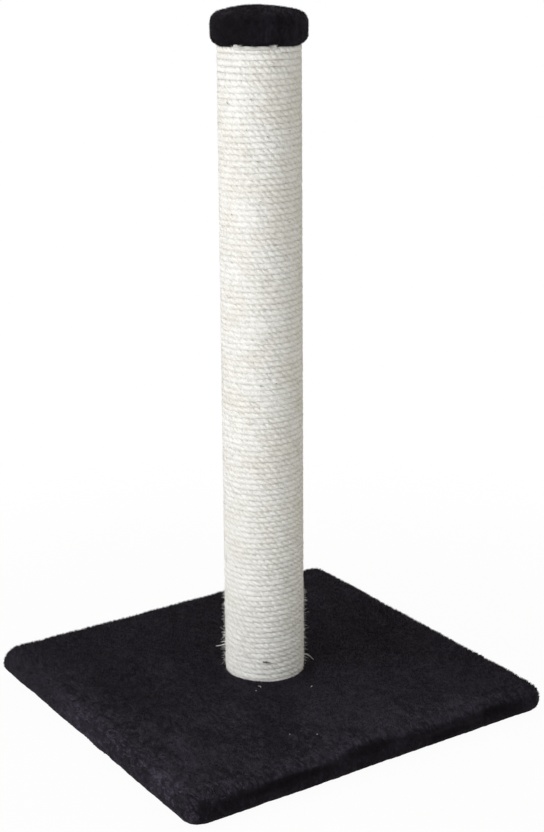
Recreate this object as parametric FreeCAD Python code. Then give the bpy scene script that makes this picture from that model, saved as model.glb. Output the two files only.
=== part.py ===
"""Cat scratching post: a plush-covered base board, an upright cardboard tube wound with sisal rope,
and a padded plush cap.

Millimetres, +Z up. The origin is on the floor under the middle of the base, which is also the post's
axis. The long front edge of the base faces -Y. Every piece of the real post is a solid of its own.
"""
import FreeCAD, Part
import math
import os

from FreeCAD import Vector

os.makedirs("parts", exist_ok=True)

# Base, measured over its plush cover
BASE_WIDTH = 400.0
BASE_DEPTH = 383.0
BASE_CORNER = 18.0
BASE_TOP_ROUNDING = 16.0
BASE_BOTTOM_ROUNDING = 8.0
BASE_PLUSH = 6.0
BASE_HEM_THICKNESS = 4.2
BASE_HEM_WIDTH = 50.0
BOARD_THICKNESS = 15.0
SEAT_CLOTH = 1.2
CLOTH_HOLE_DIAMETER = 14.0

# Cloth that closes the underside, and the pads the post stands on
LINER_THICKNESS = 0.6
LINER_INSET = 22.0
LINER_CORNER = 10.0
LINER_SLOPE = 5.0
LINER_HOLE_DIAMETER = 38.0
FOOT_HEIGHT = 3.0
FOOT_DIAMETER = 24.0
FOOT_ROUNDING = 0.8
FOOT_INSET = 37.0

# Post
TUBE_LENGTH = 600.0
TUBE_DIAMETER = 65.0
TUBE_WALL = 4.0
PLUG_THICKNESS = 18.0
PLUG_INSET = 1.0
NAIL_COUNT = 4
NAIL_DIAMETER = 1.5
NAIL_LENGTH = 16.0
NAIL_HEAD_DIAMETER = 3.5
NAIL_HEAD_THICKNESS = 0.8

# Rope
ROPE_DIAMETER = 4.7
ROPE_LOOPS = 12
ROPE_START_ANGLE = 57.0
ROPE_STAPLE_ANGLES = (14.0, 34.0, 54.0)

# Cap, measured over its plush cover
CAP_DIAMETER = 86.0
CAP_HEIGHT = 34.2
CAP_CROWN_RADIUS = 138.5
CAP_TOP_ROUNDING = 11.2
CAP_BOTTOM_ROUNDING = 9.3
CAP_PLUSH = 5.2
CAP_HEM_THICKNESS = 3.0
CAP_HEM_OPENING = 40.0
CAP_DISC_THICKNESS = 15.0

# Fastenings
BOLT_DIAMETER = 8.0
BOLT_LENGTH = 35.0
BOLT_HEAD_ACROSS_FLATS = 13.0
BOLT_HEAD_HEIGHT = 5.3
BOLT_TIP_CHAMFER = 1.0
WASHER_DIAMETER = 30.0
WASHER_THICKNESS = 2.0
STUD_LENGTH = 40.0
STUD_IN_DISC = 12.0
STUD_POINT = 4.0
TEE_FLANGE_DIAMETER = 22.0
TEE_FLANGE_THICKNESS = 1.5
TEE_BARREL_DIAMETER = 10.0
TEE_BARREL_LENGTH = 9.0
PRONG_COUNT = 4
PRONG_WIDTH = 2.6
PRONG_THICKNESS = 1.2
PRONG_LENGTH = 6.0
STAPLE_CROWN = 10.6
STAPLE_LEG = 8.0
STAPLE_WIDTH = 1.25
STAPLE_THICKNESS = 0.4
STAPLE_SINK = 1.5
HEM_STAPLES_PER_SIDE = 6
HEM_STAPLE_INSET = 38.0
LINER_STAPLES_PER_SIDE = 4
LINER_STAPLE_INSET = 27.0
STAPLE_FREE_CORNER = 70.0
CAP_STAPLE_COUNT = 8
CAP_STAPLE_RADIUS = 24.5

# Clearances
SOFT_CLEARANCE = 0.3
FIT_CLEARANCE = 0.1
THREAD_CLEARANCE = 0.15
BOLT_CLEARANCE = 0.5
WASHER_CLEARANCE = 1.0
HEAD_RECESS = 0.5

# Heights and radii that follow from the sizes above
PAD_TOP = FOOT_HEIGHT
HEM_BOTTOM = PAD_TOP + LINER_THICKNESS
BOARD_BOTTOM = HEM_BOTTOM + BASE_HEM_THICKNESS + SOFT_CLEARANCE
BOARD_TOP = BOARD_BOTTOM + BOARD_THICKNESS
BASE_TOP = BOARD_TOP + SOFT_CLEARANCE + BASE_PLUSH
POST_BOTTOM = BOARD_TOP + SOFT_CLEARANCE + SEAT_CLOTH
POST_TOP = POST_BOTTOM + TUBE_LENGTH
POST_MIDDLE = (POST_BOTTOM + POST_TOP) / 2
TUBE_RADIUS = TUBE_DIAMETER / 2
BORE_RADIUS = TUBE_RADIUS - TUBE_WALL
PLUG_BOTTOM = POST_BOTTOM + PLUG_INSET
PLUG_TOP = PLUG_BOTTOM + PLUG_THICKNESS
COUNTERBORE_TOP = BOARD_BOTTOM + HEAD_RECESS + BOLT_HEAD_HEIGHT + WASHER_THICKNESS
ROPE_RADIUS = ROPE_DIAMETER / 2
ROPE_GAP = STAPLE_THICKNESS + 2 * FIT_CLEARANCE
ROPE_PITCH = ROPE_DIAMETER + ROPE_GAP
WINDING_RADIUS = TUBE_RADIUS + SOFT_CLEARANCE + ROPE_RADIUS
ROPE_OUTSIDE = WINDING_RADIUS + ROPE_RADIUS
FIRST_TURN = POST_BOTTOM + SOFT_CLEARANCE + ROPE_RADIUS
WRAP_BOTTOM = FIRST_TURN + (ROPE_LOOPS - 1) * ROPE_PITCH + ROPE_RADIUS + ROPE_GAP
DISC_BOTTOM = POST_TOP + CAP_HEM_THICKNESS + SOFT_CLEARANCE
DISC_TOP = DISC_BOTTOM + CAP_DISC_THICKNESS
UP = Vector(0, 0, 1)
AXIS = Vector(0, 0, 0)


# Basic shapes

def cylinder(diameter, bottom, top):
    """An upright round bar on the post's axis."""
    return Part.makeCylinder(diameter / 2, top - bottom, Vector(0, 0, bottom))


def ring(outer_diameter, inner_diameter, bottom, top):
    """An upright tube on the post's axis."""
    return cylinder(outer_diameter, bottom, top).cut(cylinder(inner_diameter, bottom, top))


def block(width, depth, bottom, top):
    """A box centred on the axis in plan."""
    return Part.makeBox(width, depth, top - bottom, Vector(-width / 2, -depth / 2, bottom))


def filleted(shape, radius, wanted):
    """The shape with a fillet on each edge that wanted() picks."""
    return shape.makeFillet(radius, [edge for edge in shape.Edges if wanted(edge)])


def is_upright(edge):
    return abs(edge.Vertexes[0].Z - edge.Vertexes[-1].Z) > FIT_CLEARANCE


def lies_at(height):
    """A test for the edges that lie level at one height."""
    return lambda edge: abs(edge.BoundBox.ZMin - height) < 1e-6 and abs(edge.BoundBox.ZMax - height) < 1e-6


def rounded_slab(width, depth, corner, bottom, top):
    """A flat plate with round corners in plan and sharp rims."""
    return filleted(block(width, depth, bottom, top), corner, is_upright)


def rounded_outline(width, depth, corner, height):
    """The outline of such a plate at one height, as a wire."""
    slab = rounded_slab(width, depth, corner, height, height + 1)
    return Part.Wire(Part.__sortEdges__([edge for edge in slab.Edges if lies_at(height)(edge)]))


def turned(shape, degrees):
    """A copy turned about the post's axis."""
    copy = shape.copy()
    copy.rotate(AXIS, UP, degrees)
    return copy


def moved(shape, x, y, z):
    copy = shape.copy()
    copy.translate(Vector(x, y, z))
    return copy


def other_end(shape):
    """A copy for the other end of the post, turned over so that the rope ends stay at the back."""
    angle = math.radians(ROPE_START_ANGLE)
    copy = shape.copy()
    copy.rotate(Vector(0, 0, POST_MIDDLE), Vector(math.cos(angle), math.sin(angle), 0), 180)
    return copy


def save(name, shape):
    """Writes one piece and says how many solids it has."""
    if not shape.isValid():
        raise ValueError(name + " isn't a valid shape")
    shape.exportStep("parts/" + name + ".step")
    print(f"{name}: {len(shape.Solids)} solid(s), {shape.Volume / 1000:.2f} cm3")


# Staples. One stands on the axis with its crown along X and its legs pointing up.

def staple(crown=STAPLE_CROWN):
    bar = block(crown, STAPLE_WIDTH, 0, STAPLE_THICKNESS)
    leg = block(STAPLE_THICKNESS, STAPLE_WIDTH, 0, STAPLE_LEG)
    reach = (crown - STAPLE_THICKNESS) / 2
    return bar.fuse([moved(leg, -reach, 0, 0), moved(leg, reach, 0, 0)]).removeSplitter()


def staple_room(crown=STAPLE_CROWN, sink=0.0):
    """The space that a staple takes in what it is driven into, open below by the depth it sinks."""
    spare = 2 * FIT_CLEARANCE
    bar = block(crown + spare, STAPLE_WIDTH + spare, -sink, STAPLE_THICKNESS + FIT_CLEARANCE)
    leg = block(STAPLE_THICKNESS + spare, STAPLE_WIDTH + spare, 0, STAPLE_LEG + FIT_CLEARANCE)
    reach = (crown - STAPLE_THICKNESS) / 2
    return bar.fuse([moved(leg, -reach, 0, 0), moved(leg, reach, 0, 0)])


def along_sides(shape, inset, per_side, height):
    """Copies along the four sides of the base, at an inset from its edges."""
    copies = []
    for side in range(4):
        run = BASE_DEPTH if side % 2 else BASE_WIDTH
        out = (BASE_WIDTH if side % 2 else BASE_DEPTH) / 2 - inset
        free = run - 2 * STAPLE_FREE_CORNER
        for step in range(per_side):
            place = -free / 2 + free * step / (per_side - 1)
            copies.append(turned(moved(shape, place, -out, height), 90 * side))
    return copies


def hem_staples(shape):
    return along_sides(shape, HEM_STAPLE_INSET, HEM_STAPLES_PER_SIDE, HEM_BOTTOM + STAPLE_SINK)


def liner_staples(shape):
    return along_sides(shape, LINER_STAPLE_INSET, LINER_STAPLES_PER_SIDE, PAD_TOP - STAPLE_THICKNESS)


def cap_staples(shape):
    """Copies in a ring under the cap's disc."""
    copies = []
    for step in range(CAP_STAPLE_COUNT):
        copy = moved(shape, 0, CAP_STAPLE_RADIUS, POST_TOP - STAPLE_THICKNESS)
        copies.append(turned(copy, 360 * step / CAP_STAPLE_COUNT))
    return copies


# Base

def base_form(side, below, above):
    """The base's outer form, drawn in by a distance at its sides, below and above."""
    bottom = HEM_BOTTOM + below
    top = BASE_TOP - above
    slab = rounded_slab(BASE_WIDTH - 2 * side, BASE_DEPTH - 2 * side, BASE_CORNER - side, bottom, top)
    slab = filleted(slab, BASE_TOP_ROUNDING - side, lies_at(top))
    return filleted(slab, BASE_BOTTOM_ROUNDING - side, lies_at(bottom))


def base_board():
    """Chipboard with the bolt's hole and its counterbore."""
    spare = BASE_PLUSH + SOFT_CLEARANCE
    board = base_form(spare, BASE_HEM_THICKNESS + SOFT_CLEARANCE, spare)
    hole = cylinder(BOLT_DIAMETER + 2 * BOLT_CLEARANCE, BOARD_BOTTOM, BOARD_TOP)
    counterbore = cylinder(WASHER_DIAMETER + 2 * WASHER_CLEARANCE, BOARD_BOTTOM, COUNTERBORE_TOP)
    return board.cut([hole, counterbore] + hem_staples(staple_room()) + liner_staples(staple_room()))


def base_plush():
    """The cover: over the top, round the sides, and folded under as a hem. The post presses a seat in it."""
    cover = base_form(0, 0, 0).cut(base_form(BASE_PLUSH, BASE_HEM_THICKNESS, BASE_PLUSH))
    opening = rounded_slab(BASE_WIDTH - 2 * BASE_HEM_WIDTH, BASE_DEPTH - 2 * BASE_HEM_WIDTH, LINER_CORNER,
                           HEM_BOTTOM, BOARD_BOTTOM)
    seat = cylinder(2 * (ROPE_OUTSIDE + 2 * SOFT_CLEARANCE), POST_BOTTOM, BASE_TOP)
    hole = cylinder(CLOTH_HOLE_DIAMETER, BOARD_TOP, POST_BOTTOM)
    rooms = hem_staples(staple_room(sink=STAPLE_SINK)) + liner_staples(staple_room())
    return cover.cut([opening, seat, hole] + rooms)


def base_liner():
    """Thin cloth: a rim over the hem, and a middle that lies up against the board."""
    inner_width = BASE_WIDTH - 2 * (BASE_HEM_WIDTH + SOFT_CLEARANCE)
    inner_depth = BASE_DEPTH - 2 * (BASE_HEM_WIDTH + SOFT_CLEARANCE)
    panel_top = BOARD_BOTTOM - SOFT_CLEARANCE

    def dish(lift, wall):
        """A shallow pyramid with its top cut off, as the middle of the cloth rises."""
        low = rounded_outline(inner_width - 2 * wall, inner_depth - 2 * wall, LINER_CORNER, PAD_TOP)
        draw = 2 * (wall + LINER_SLOPE)
        high = rounded_outline(inner_width - draw, inner_depth - draw, LINER_CORNER, panel_top - lift)
        return Part.makeLoft([low, high], True, True)

    rim = rounded_slab(BASE_WIDTH - 2 * LINER_INSET, BASE_DEPTH - 2 * LINER_INSET, LINER_CORNER,
                       PAD_TOP, HEM_BOTTOM)
    hole = cylinder(LINER_HOLE_DIAMETER, PAD_TOP, BOARD_BOTTOM)
    cloth = rim.fuse(dish(0, 0)).cut(dish(LINER_THICKNESS, LINER_THICKNESS))
    return cloth.cut([hole] + liner_staples(staple_room()))


def foot(side_x, side_y):
    pad = cylinder(FOOT_DIAMETER, 0, PAD_TOP)
    pad = filleted(pad, FOOT_ROUNDING, lies_at(0))
    return moved(pad, side_x * (BASE_WIDTH / 2 - FOOT_INSET), side_y * (BASE_DEPTH / 2 - FOOT_INSET), 0)


def base_bolt():
    """Hex bolt, its head up in the counterbore and its tip through the tee nut."""
    head_top = COUNTERBORE_TOP - WASHER_THICKNESS
    corner = BOLT_HEAD_ACROSS_FLATS / math.sqrt(3)
    corners = []
    for step in range(7):
        angle = math.radians(60 * step)
        across = Vector(corner * math.cos(angle), corner * math.sin(angle), 0)
        corners.append(across + UP * (head_top - BOLT_HEAD_HEIGHT))
    head = Part.Face(Part.makePolygon(corners)).extrude(Vector(0, 0, BOLT_HEAD_HEIGHT))
    tip = head_top + BOLT_LENGTH
    shank = cylinder(BOLT_DIAMETER, head_top, tip)
    shank = shank.makeChamfer(BOLT_TIP_CHAMFER, [edge for edge in shank.Edges if lies_at(tip)(edge)])
    return head.fuse(shank).removeSplitter()


def base_washer():
    hole = BOLT_DIAMETER + 2 * THREAD_CLEARANCE
    return ring(WASHER_DIAMETER, hole, COUNTERBORE_TOP - WASHER_THICKNESS, COUNTERBORE_TOP)


# Post. What both ends share is made for the bottom and turned over for the top.

def nail(grow):
    """A nail driven in along -X through the tube's wall, grown all round by a distance."""
    head_face = TUBE_RADIUS - FIT_CLEARANCE + grow
    height = (PLUG_BOTTOM + PLUG_TOP) / 2
    inward = Vector(-1, 0, 0)
    start = Vector(head_face, 0, height)
    shaft = Part.makeCylinder(NAIL_DIAMETER / 2 + grow, NAIL_LENGTH + 2 * grow, start, inward)
    head = Part.makeCylinder(NAIL_HEAD_DIAMETER / 2 + grow, NAIL_HEAD_THICKNESS + 2 * grow, start, inward)
    return shaft.fuse(head).removeSplitter()


def nails(grow=0.0):
    return [turned(nail(grow), 360 * (step + 0.5) / NAIL_COUNT) for step in range(NAIL_COUNT)]


def prongs(grow=0.0):
    """The tee nut's prongs, which bite down into the plug."""
    thickness = PRONG_THICKNESS + 2 * grow
    prong = block(thickness, PRONG_WIDTH + 2 * grow, PLUG_TOP - PRONG_LENGTH - grow, PLUG_TOP)
    prong = moved(prong, (TEE_FLANGE_DIAMETER - PRONG_THICKNESS) / 2 - PRONG_THICKNESS, 0, 0)
    return [turned(prong, 360 * step / PRONG_COUNT) for step in range(PRONG_COUNT)]


def bottom_tee_nut():
    """Threaded insert on the plug's inner side, so that the bolt draws it tight."""
    flange = cylinder(TEE_FLANGE_DIAMETER, PLUG_TOP, PLUG_TOP + TEE_FLANGE_THICKNESS)
    barrel = cylinder(TEE_BARREL_DIAMETER, PLUG_TOP - TEE_BARREL_LENGTH, PLUG_TOP)
    bore = cylinder(BOLT_DIAMETER + 2 * THREAD_CLEARANCE, PLUG_BOTTOM, PLUG_TOP + TEE_FLANGE_THICKNESS)
    return flange.fuse([barrel] + prongs()).cut(bore).removeSplitter()


def bottom_plug():
    """Wooden disc pressed into the tube's end."""
    plug = cylinder(2 * (BORE_RADIUS - FIT_CLEARANCE), PLUG_BOTTOM, PLUG_TOP)
    hole = cylinder(BOLT_DIAMETER + 2 * BOLT_CLEARANCE, PLUG_BOTTOM, PLUG_TOP)
    seat = cylinder(TEE_BARREL_DIAMETER + 2 * FIT_CLEARANCE,
                    PLUG_TOP - TEE_BARREL_LENGTH - FIT_CLEARANCE, PLUG_TOP)
    return plug.cut([hole, seat] + prongs(FIT_CLEARANCE) + nails(FIT_CLEARANCE))


def rope_staple_places(shape):
    """Copies that bridge the grooves between the first turns of rope, legs pointing at the axis."""
    copies = []
    for angle in ROPE_STAPLE_ANGLES:
        middle = FIRST_TURN + ROPE_PITCH * 1.5
        upright = shape.copy()
        upright.rotate(AXIS, Vector(0, 1, 0), -90)
        out = ROPE_OUTSIDE + FIT_CLEARANCE + STAPLE_THICKNESS
        copies.append(turned(moved(upright, out, 0, middle), ROPE_START_ANGLE + angle))
    return copies


def rope_staples(make):
    """Staples, or the room they need, at both ends of the rope."""
    bottom = rope_staple_places(make(2 * ROPE_PITCH + STAPLE_THICKNESS))
    return bottom + [other_end(copy) for copy in bottom]


def post_tube():
    tube = ring(TUBE_DIAMETER, 2 * BORE_RADIUS, POST_BOTTOM, POST_TOP)
    bottom_nails = nails(FIT_CLEARANCE)
    top_nails = [other_end(copy) for copy in bottom_nails]
    return tube.cut(bottom_nails + top_nails + rope_staples(staple_room))


# Rope. The turns at each end are one unbroken tube, and the stretch between them is a plain sleeve. Each
# turn lies level for three quarters of its way round and climbs to the next in the last quarter.

def winding_point(turns):
    """The middle of the rope after that many turns from the bottom, at a whole number of quarters."""
    angle = 2 * math.pi * turns
    height = FIRST_TURN + ROPE_PITCH * math.floor(turns)
    return Vector(WINDING_RADIUS * math.cos(angle), WINDING_RADIUS * math.sin(angle), height)


def winding_direction(turns):
    """The rope's direction there, which is level."""
    angle = 2 * math.pi * turns
    return Vector(-math.sin(angle), math.cos(angle), 0)


def arc(start, direction, end):
    """The arc from start along a direction to end."""
    chord = end - start
    half = chord.Length / 2
    side = direction - chord * (direction.dot(chord) / chord.dot(chord))
    turn = direction.getAngle(chord)
    middle = start + chord * 0.5 + side.normalize() * (half * math.tan(turn / 2))
    return Part.Arc(start, middle, end).toShape()


def biarc(start, start_direction, end, end_direction):
    """Two arcs that join smoothly and leave and arrive in the given directions."""
    chord = end - start
    total = start_direction + end_direction
    a = total.dot(total) - 4
    b = -2 * chord.dot(total)
    reach = (-b - math.sqrt(b * b - 4 * a * chord.dot(chord))) / (2 * a)
    first_corner = start + start_direction * reach
    second_corner = end - end_direction * reach
    joint = (first_corner + second_corner) * 0.5
    joint_direction = (second_corner - first_corner).normalize()
    return [arc(start, start_direction, joint), arc(joint, joint_direction, end)]


def winding_path():
    """The middle line of the turns: a straight start, quarter-turn biarcs and a straight end."""
    lead_in = winding_point(0) - winding_direction(0) * ROPE_DIAMETER
    lead_out = winding_point(ROPE_LOOPS) + winding_direction(ROPE_LOOPS) * ROPE_DIAMETER
    edges = [Part.LineSegment(lead_in, winding_point(0)).toShape()]
    for quarter in range(4 * ROPE_LOOPS):
        here = quarter / 4
        there = (quarter + 1) / 4
        edges += biarc(winding_point(here), winding_direction(here),
                       winding_point(there), winding_direction(there))
    edges.append(Part.LineSegment(winding_point(ROPE_LOOPS), lead_out).toShape())
    return Part.Wire(edges)


def least_gap(path):
    """The least gap between the rope's turns, from points on its middle line."""
    points_per_turn = 144
    points = path.discretize(Number=points_per_turn * ROPE_LOOPS)
    apart = points_per_turn // 2
    least = min(points[i].distanceToPoint(points[j])
                for i in range(len(points)) for j in range(i + apart, len(points)))
    return least - ROPE_DIAMETER


def rope_turns():
    """The first turns of rope, up from the base."""
    path = winding_path()
    print(f"rope: {ROPE_LOOPS} loops at each end, pitch {ROPE_PITCH:.2f}, least gap {least_gap(path):.2f} mm")
    start = path.Edges[0]
    section = Part.Circle(start.valueAt(start.FirstParameter), winding_direction(0), ROPE_RADIUS)
    sweep = Part.BRepOffsetAPI.MakePipeShell(path)
    sweep.add(Part.Wire(section.toShape()))
    sweep.build()
    sweep.makeSolid()
    rope = sweep.shape()
    drawn = math.pi * ROPE_RADIUS ** 2 * path.Length
    print(f"rope: length {path.Length:.0f} mm, volume over section times length {rope.Volume / drawn:.4f}")
    return turned(rope, ROPE_START_ANGLE)


def notch():
    """The space in the sleeve's lower end where the last turn climbs. Its far wall faces the rope's end."""
    last_quarter = Part.makeCylinder(2 * ROPE_OUTSIDE, ROPE_PITCH, Vector(0, 0, WRAP_BOTTOM), UP, 90)
    rope_end = Part.makeBox(2 * ROPE_OUTSIDE, ROPE_DIAMETER + SOFT_CLEARANCE, ROPE_PITCH,
                            Vector(0, 0, WRAP_BOTTOM))
    return turned(turned(last_quarter, 270).fuse(rope_end), ROPE_START_ANGLE)


def rope_wrap():
    """The rope between the two sets of turns, as a plain sleeve."""
    wrap_top = POST_TOP + POST_BOTTOM - WRAP_BOTTOM
    sleeve = ring(2 * ROPE_OUTSIDE, 2 * (TUBE_RADIUS + SOFT_CLEARANCE), WRAP_BOTTOM, wrap_top)
    return sleeve.cut([notch(), other_end(notch())])


# Cap

def cap_form(side, below):
    """The cap's outer form, drawn in by a distance at its sides and top, and by another below."""
    radius = CAP_DIAMETER / 2 - side
    bottom = POST_TOP + below
    crown = CAP_CROWN_RADIUS - side
    top_rounding = CAP_TOP_ROUNDING - side
    bottom_rounding = CAP_BOTTOM_ROUNDING - side
    apex = POST_TOP + CAP_HEIGHT - side
    crown_centre = Vector(0, 0, apex - crown)
    shoulder_x = radius - top_rounding
    shoulder_rise = math.sqrt((crown - top_rounding) ** 2 - shoulder_x ** 2)
    shoulder = Vector(shoulder_x, 0, crown_centre.z + shoulder_rise)
    outward = (shoulder - crown_centre).normalize()
    meeting = crown_centre + outward * crown
    slope = math.asin(outward.x)
    crown_middle = crown_centre + Vector(math.sin(slope / 2), 0, math.cos(slope / 2)) * crown
    half_way = (math.pi / 2 - slope) / 2
    shoulder_middle = shoulder + Vector(math.cos(half_way), 0, math.sin(half_way)) * top_rounding
    foot_centre = Vector(radius - bottom_rounding, 0, bottom + bottom_rounding)
    foot_middle = foot_centre + Vector(1, 0, -1).normalize() * bottom_rounding
    heel = Vector(foot_centre.x, 0, bottom)
    side_low = Vector(radius, 0, foot_centre.z)
    side_high = Vector(radius, 0, shoulder.z)
    outline = Part.Wire([
        Part.LineSegment(Vector(0, 0, bottom), heel).toShape(),
        Part.Arc(heel, foot_middle, side_low).toShape(),
        Part.LineSegment(side_low, side_high).toShape(),
        Part.Arc(side_high, shoulder_middle, meeting).toShape(),
        Part.Arc(meeting, crown_middle, Vector(0, 0, apex)).toShape(),
        Part.LineSegment(Vector(0, 0, apex), Vector(0, 0, bottom)).toShape(),
    ])
    return Part.Face(outline).revolve(AXIS, UP, 360)


def cap_core():
    """What the cap's cover holds: the disc with the foam on it."""
    return cap_form(CAP_PLUSH + SOFT_CLEARANCE, CAP_HEM_THICKNESS + SOFT_CLEARANCE)


def cap_disc():
    """Wooden disc with a blind hole for the stud."""
    above = cylinder(CAP_DIAMETER, DISC_TOP, POST_TOP + CAP_HEIGHT)
    depth = STUD_IN_DISC + FIT_CLEARANCE
    hole = cylinder(BOLT_DIAMETER + 2 * THREAD_CLEARANCE, DISC_BOTTOM, DISC_BOTTOM + depth)
    return cap_core().cut([above, hole] + cap_staples(staple_room()))


def cap_foam():
    return cap_core().cut(cylinder(CAP_DIAMETER, DISC_BOTTOM, DISC_TOP + SOFT_CLEARANCE))


def cap_plush():
    """The cap's cover, gathered under the disc and open in the middle for the stud."""
    cover = cap_form(0, 0).cut(cap_form(CAP_PLUSH, CAP_HEM_THICKNESS))
    opening = cylinder(CAP_HEM_OPENING, POST_TOP, DISC_BOTTOM)
    return cover.cut([opening] + cap_staples(staple_room()))


def cap_stud():
    """Hanger bolt: its pointed end is in the disc, its other end in the top tee nut."""
    tip = DISC_BOTTOM + STUD_IN_DISC
    bar = cylinder(BOLT_DIAMETER, tip - STUD_LENGTH, tip - STUD_POINT)
    base = Vector(0, 0, tip - STUD_POINT)
    point = Part.makeCone(BOLT_DIAMETER / 2, BOLT_DIAMETER / 8, STUD_POINT, base)
    return bar.fuse(point).removeSplitter()


save("base_board", base_board())
save("base_plush", base_plush())
save("base_staples", Part.makeCompound(hem_staples(staple())))
save("base_liner", base_liner())
save("liner_staples", Part.makeCompound(liner_staples(staple())))
for front_name, side_y in (("front", -1), ("back", 1)):
    for left_name, side_x in (("left", -1), ("right", 1)):
        save(f"foot_{front_name}_{left_name}", foot(side_x, side_y))
save("base_bolt", base_bolt())
save("base_washer", base_washer())
save("post_tube", post_tube())
save("bottom_plug", bottom_plug())
save("top_plug", other_end(bottom_plug()))
save("bottom_tee_nut", bottom_tee_nut())
save("top_tee_nut", other_end(bottom_tee_nut()))
save("bottom_plug_nails", Part.makeCompound(nails()))
save("top_plug_nails", other_end(Part.makeCompound(nails())))
turns = rope_turns()
save("rope_turns_bottom", turns)
save("rope_turns_top", other_end(turns))
save("rope_wrap", rope_wrap())
save("rope_staples", Part.makeCompound(rope_staples(staple)))
save("cap_disc", cap_disc())
save("cap_foam", cap_foam())
save("cap_plush", cap_plush())
save("cap_staples", Part.makeCompound(cap_staples(staple())))
save("cap_stud", cap_stud())
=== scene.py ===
# %% [markdown]
# # A cat scratching post
#
# The real object is a cardboard tube wound with sisal rope. It stands on a board that is covered
# with black plush, and a padded plush cap closes its top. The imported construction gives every
# size, and this lesson gives the post its looks: laid rope with loose fibres, plush with a pile, a
# cloth liner under the base, and a finish for each piece of wood, card, rubber and steel.
#
# All lengths are in metres. The post's axis is the Z axis, and the floor is at Z = 0.

# %% Load the frame
import math

import bmesh
import bpy
import numpy as np
from mathutils import Matrix, Vector, noise


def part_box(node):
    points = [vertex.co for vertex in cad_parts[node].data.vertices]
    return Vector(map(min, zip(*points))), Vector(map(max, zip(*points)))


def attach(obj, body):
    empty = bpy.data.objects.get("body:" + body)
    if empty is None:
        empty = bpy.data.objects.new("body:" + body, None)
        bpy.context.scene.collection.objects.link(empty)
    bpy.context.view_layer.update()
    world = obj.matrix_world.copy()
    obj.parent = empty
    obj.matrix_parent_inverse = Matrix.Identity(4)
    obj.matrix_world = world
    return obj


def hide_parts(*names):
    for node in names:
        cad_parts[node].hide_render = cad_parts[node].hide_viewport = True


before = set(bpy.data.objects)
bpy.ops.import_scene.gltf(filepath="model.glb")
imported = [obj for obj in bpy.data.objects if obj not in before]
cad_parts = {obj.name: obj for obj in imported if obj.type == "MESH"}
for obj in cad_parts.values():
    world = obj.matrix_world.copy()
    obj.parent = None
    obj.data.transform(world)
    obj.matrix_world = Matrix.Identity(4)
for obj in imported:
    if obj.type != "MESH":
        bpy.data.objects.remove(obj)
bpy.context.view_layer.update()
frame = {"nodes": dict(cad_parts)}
MM = 0.001

# %% [markdown]
# ## Sizes that come from the construction
#
# Nothing is fitted by eye. The cover, the rope and the cap take their sizes from the boxes of the
# nodes that they stand for, so they follow when the construction changes.

# %% Sizes from the construction
cover_low, cover_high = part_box("base_plush")
tube_low, tube_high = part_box("post_tube")
cap_low, cap_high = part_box("cap_plush")
liner_low, liner_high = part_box("base_liner")
board_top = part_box("base_board")[1].z
wrap_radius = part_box("rope_wrap")[1].x
disc_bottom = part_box("cap_disc")[0].z

BASE_WIDTH = cover_high.x - cover_low.x
BASE_DEPTH = cover_high.y - cover_low.y
TUBE_RADIUS = tube_high.x
POST_BOTTOM = tube_low.z
POST_TOP = tube_high.z
CAP_RADIUS = cap_high.y
print(f"base {BASE_WIDTH / MM:.0f} x {BASE_DEPTH / MM:.0f}, post from {POST_BOTTOM / MM:.1f} to "
      f"{POST_TOP / MM:.1f}, cap radius {CAP_RADIUS / MM:.1f} mm")

# %% [markdown]
# ## Small tools for the mesh work
#
# An operator works on whatever is selected, and the frame leaves its nodes selected. So each piece
# starts from an empty selection. Other helpers give points round the post's axis, smooth noise and
# a seeded random source, so that the lesson gives the same post each time it runs.

# %% Helpers for objects
rng = np.random.default_rng(20)


def start_clean():
    """Leaves edit mode and deselects everything."""
    if bpy.context.object and bpy.context.object.mode != "OBJECT":
        bpy.ops.object.mode_set(mode="OBJECT")
    bpy.ops.object.select_all(action="DESELECT")


def pick(obj):
    """Makes one object the active and only selected one."""
    start_clean()
    bpy.context.view_layer.objects.active = obj
    obj.select_set(True)
    return obj


def name_it(obj, name):
    obj.name = name
    obj.data.name = name
    return obj


def mesh_object(name, points, faces):
    """A new object from points and faces."""
    mesh = bpy.data.meshes.new(name)
    mesh.from_pydata([tuple(p) for p in points], [], faces)
    mesh.update()
    obj = bpy.data.objects.new(name, mesh)
    bpy.context.scene.collection.objects.link(obj)
    return pick(obj)


def coordinates(obj):
    """The object's points as an array of rows."""
    values = np.empty(len(obj.data.vertices) * 3)
    obj.data.vertices.foreach_get("co", values)
    return values.reshape(-1, 3)


def set_coordinates(obj, points):
    obj.data.vertices.foreach_set("co", np.asarray(points, dtype=float).ravel())
    obj.data.update()


def point_normals(obj):
    values = np.empty(len(obj.data.vertices) * 3)
    obj.data.vertex_normals.foreach_get("vector", values)
    return values.reshape(-1, 3)


def at_angle(radius, angle, height):
    """Points round the post's axis, as rows of x, y and z."""
    flat = radius * np.cos(angle), radius * np.sin(angle)
    return np.stack(np.broadcast_arrays(*flat, height), axis=-1)


def wavy(points, size, seed=0.0):
    """Smooth noise between about -1 and 1 at each point, with bumps of about the given size."""
    shift = Vector((seed * 7.1, seed * 3.3, seed * 5.7))
    return np.array([noise.noise(Vector(p) / size + shift) for p in points])


def ease(x):
    """From 0 to 1 with a soft start and end."""
    x = np.clip(x, 0.0, 1.0)
    return x * x * (3 - 2 * x)


def edit(obj, action="SELECT"):
    """Opens one object in edit mode, with everything or nothing selected."""
    pick(obj)
    bpy.ops.object.mode_set(mode="EDIT")
    bpy.ops.mesh.select_all(action=action)


def face_outwards(obj):
    """Turns the faces of a skin outwards."""
    edit(obj)
    bpy.ops.mesh.normals_make_consistent(inside=False)
    bpy.ops.object.mode_set(mode="OBJECT")


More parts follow.
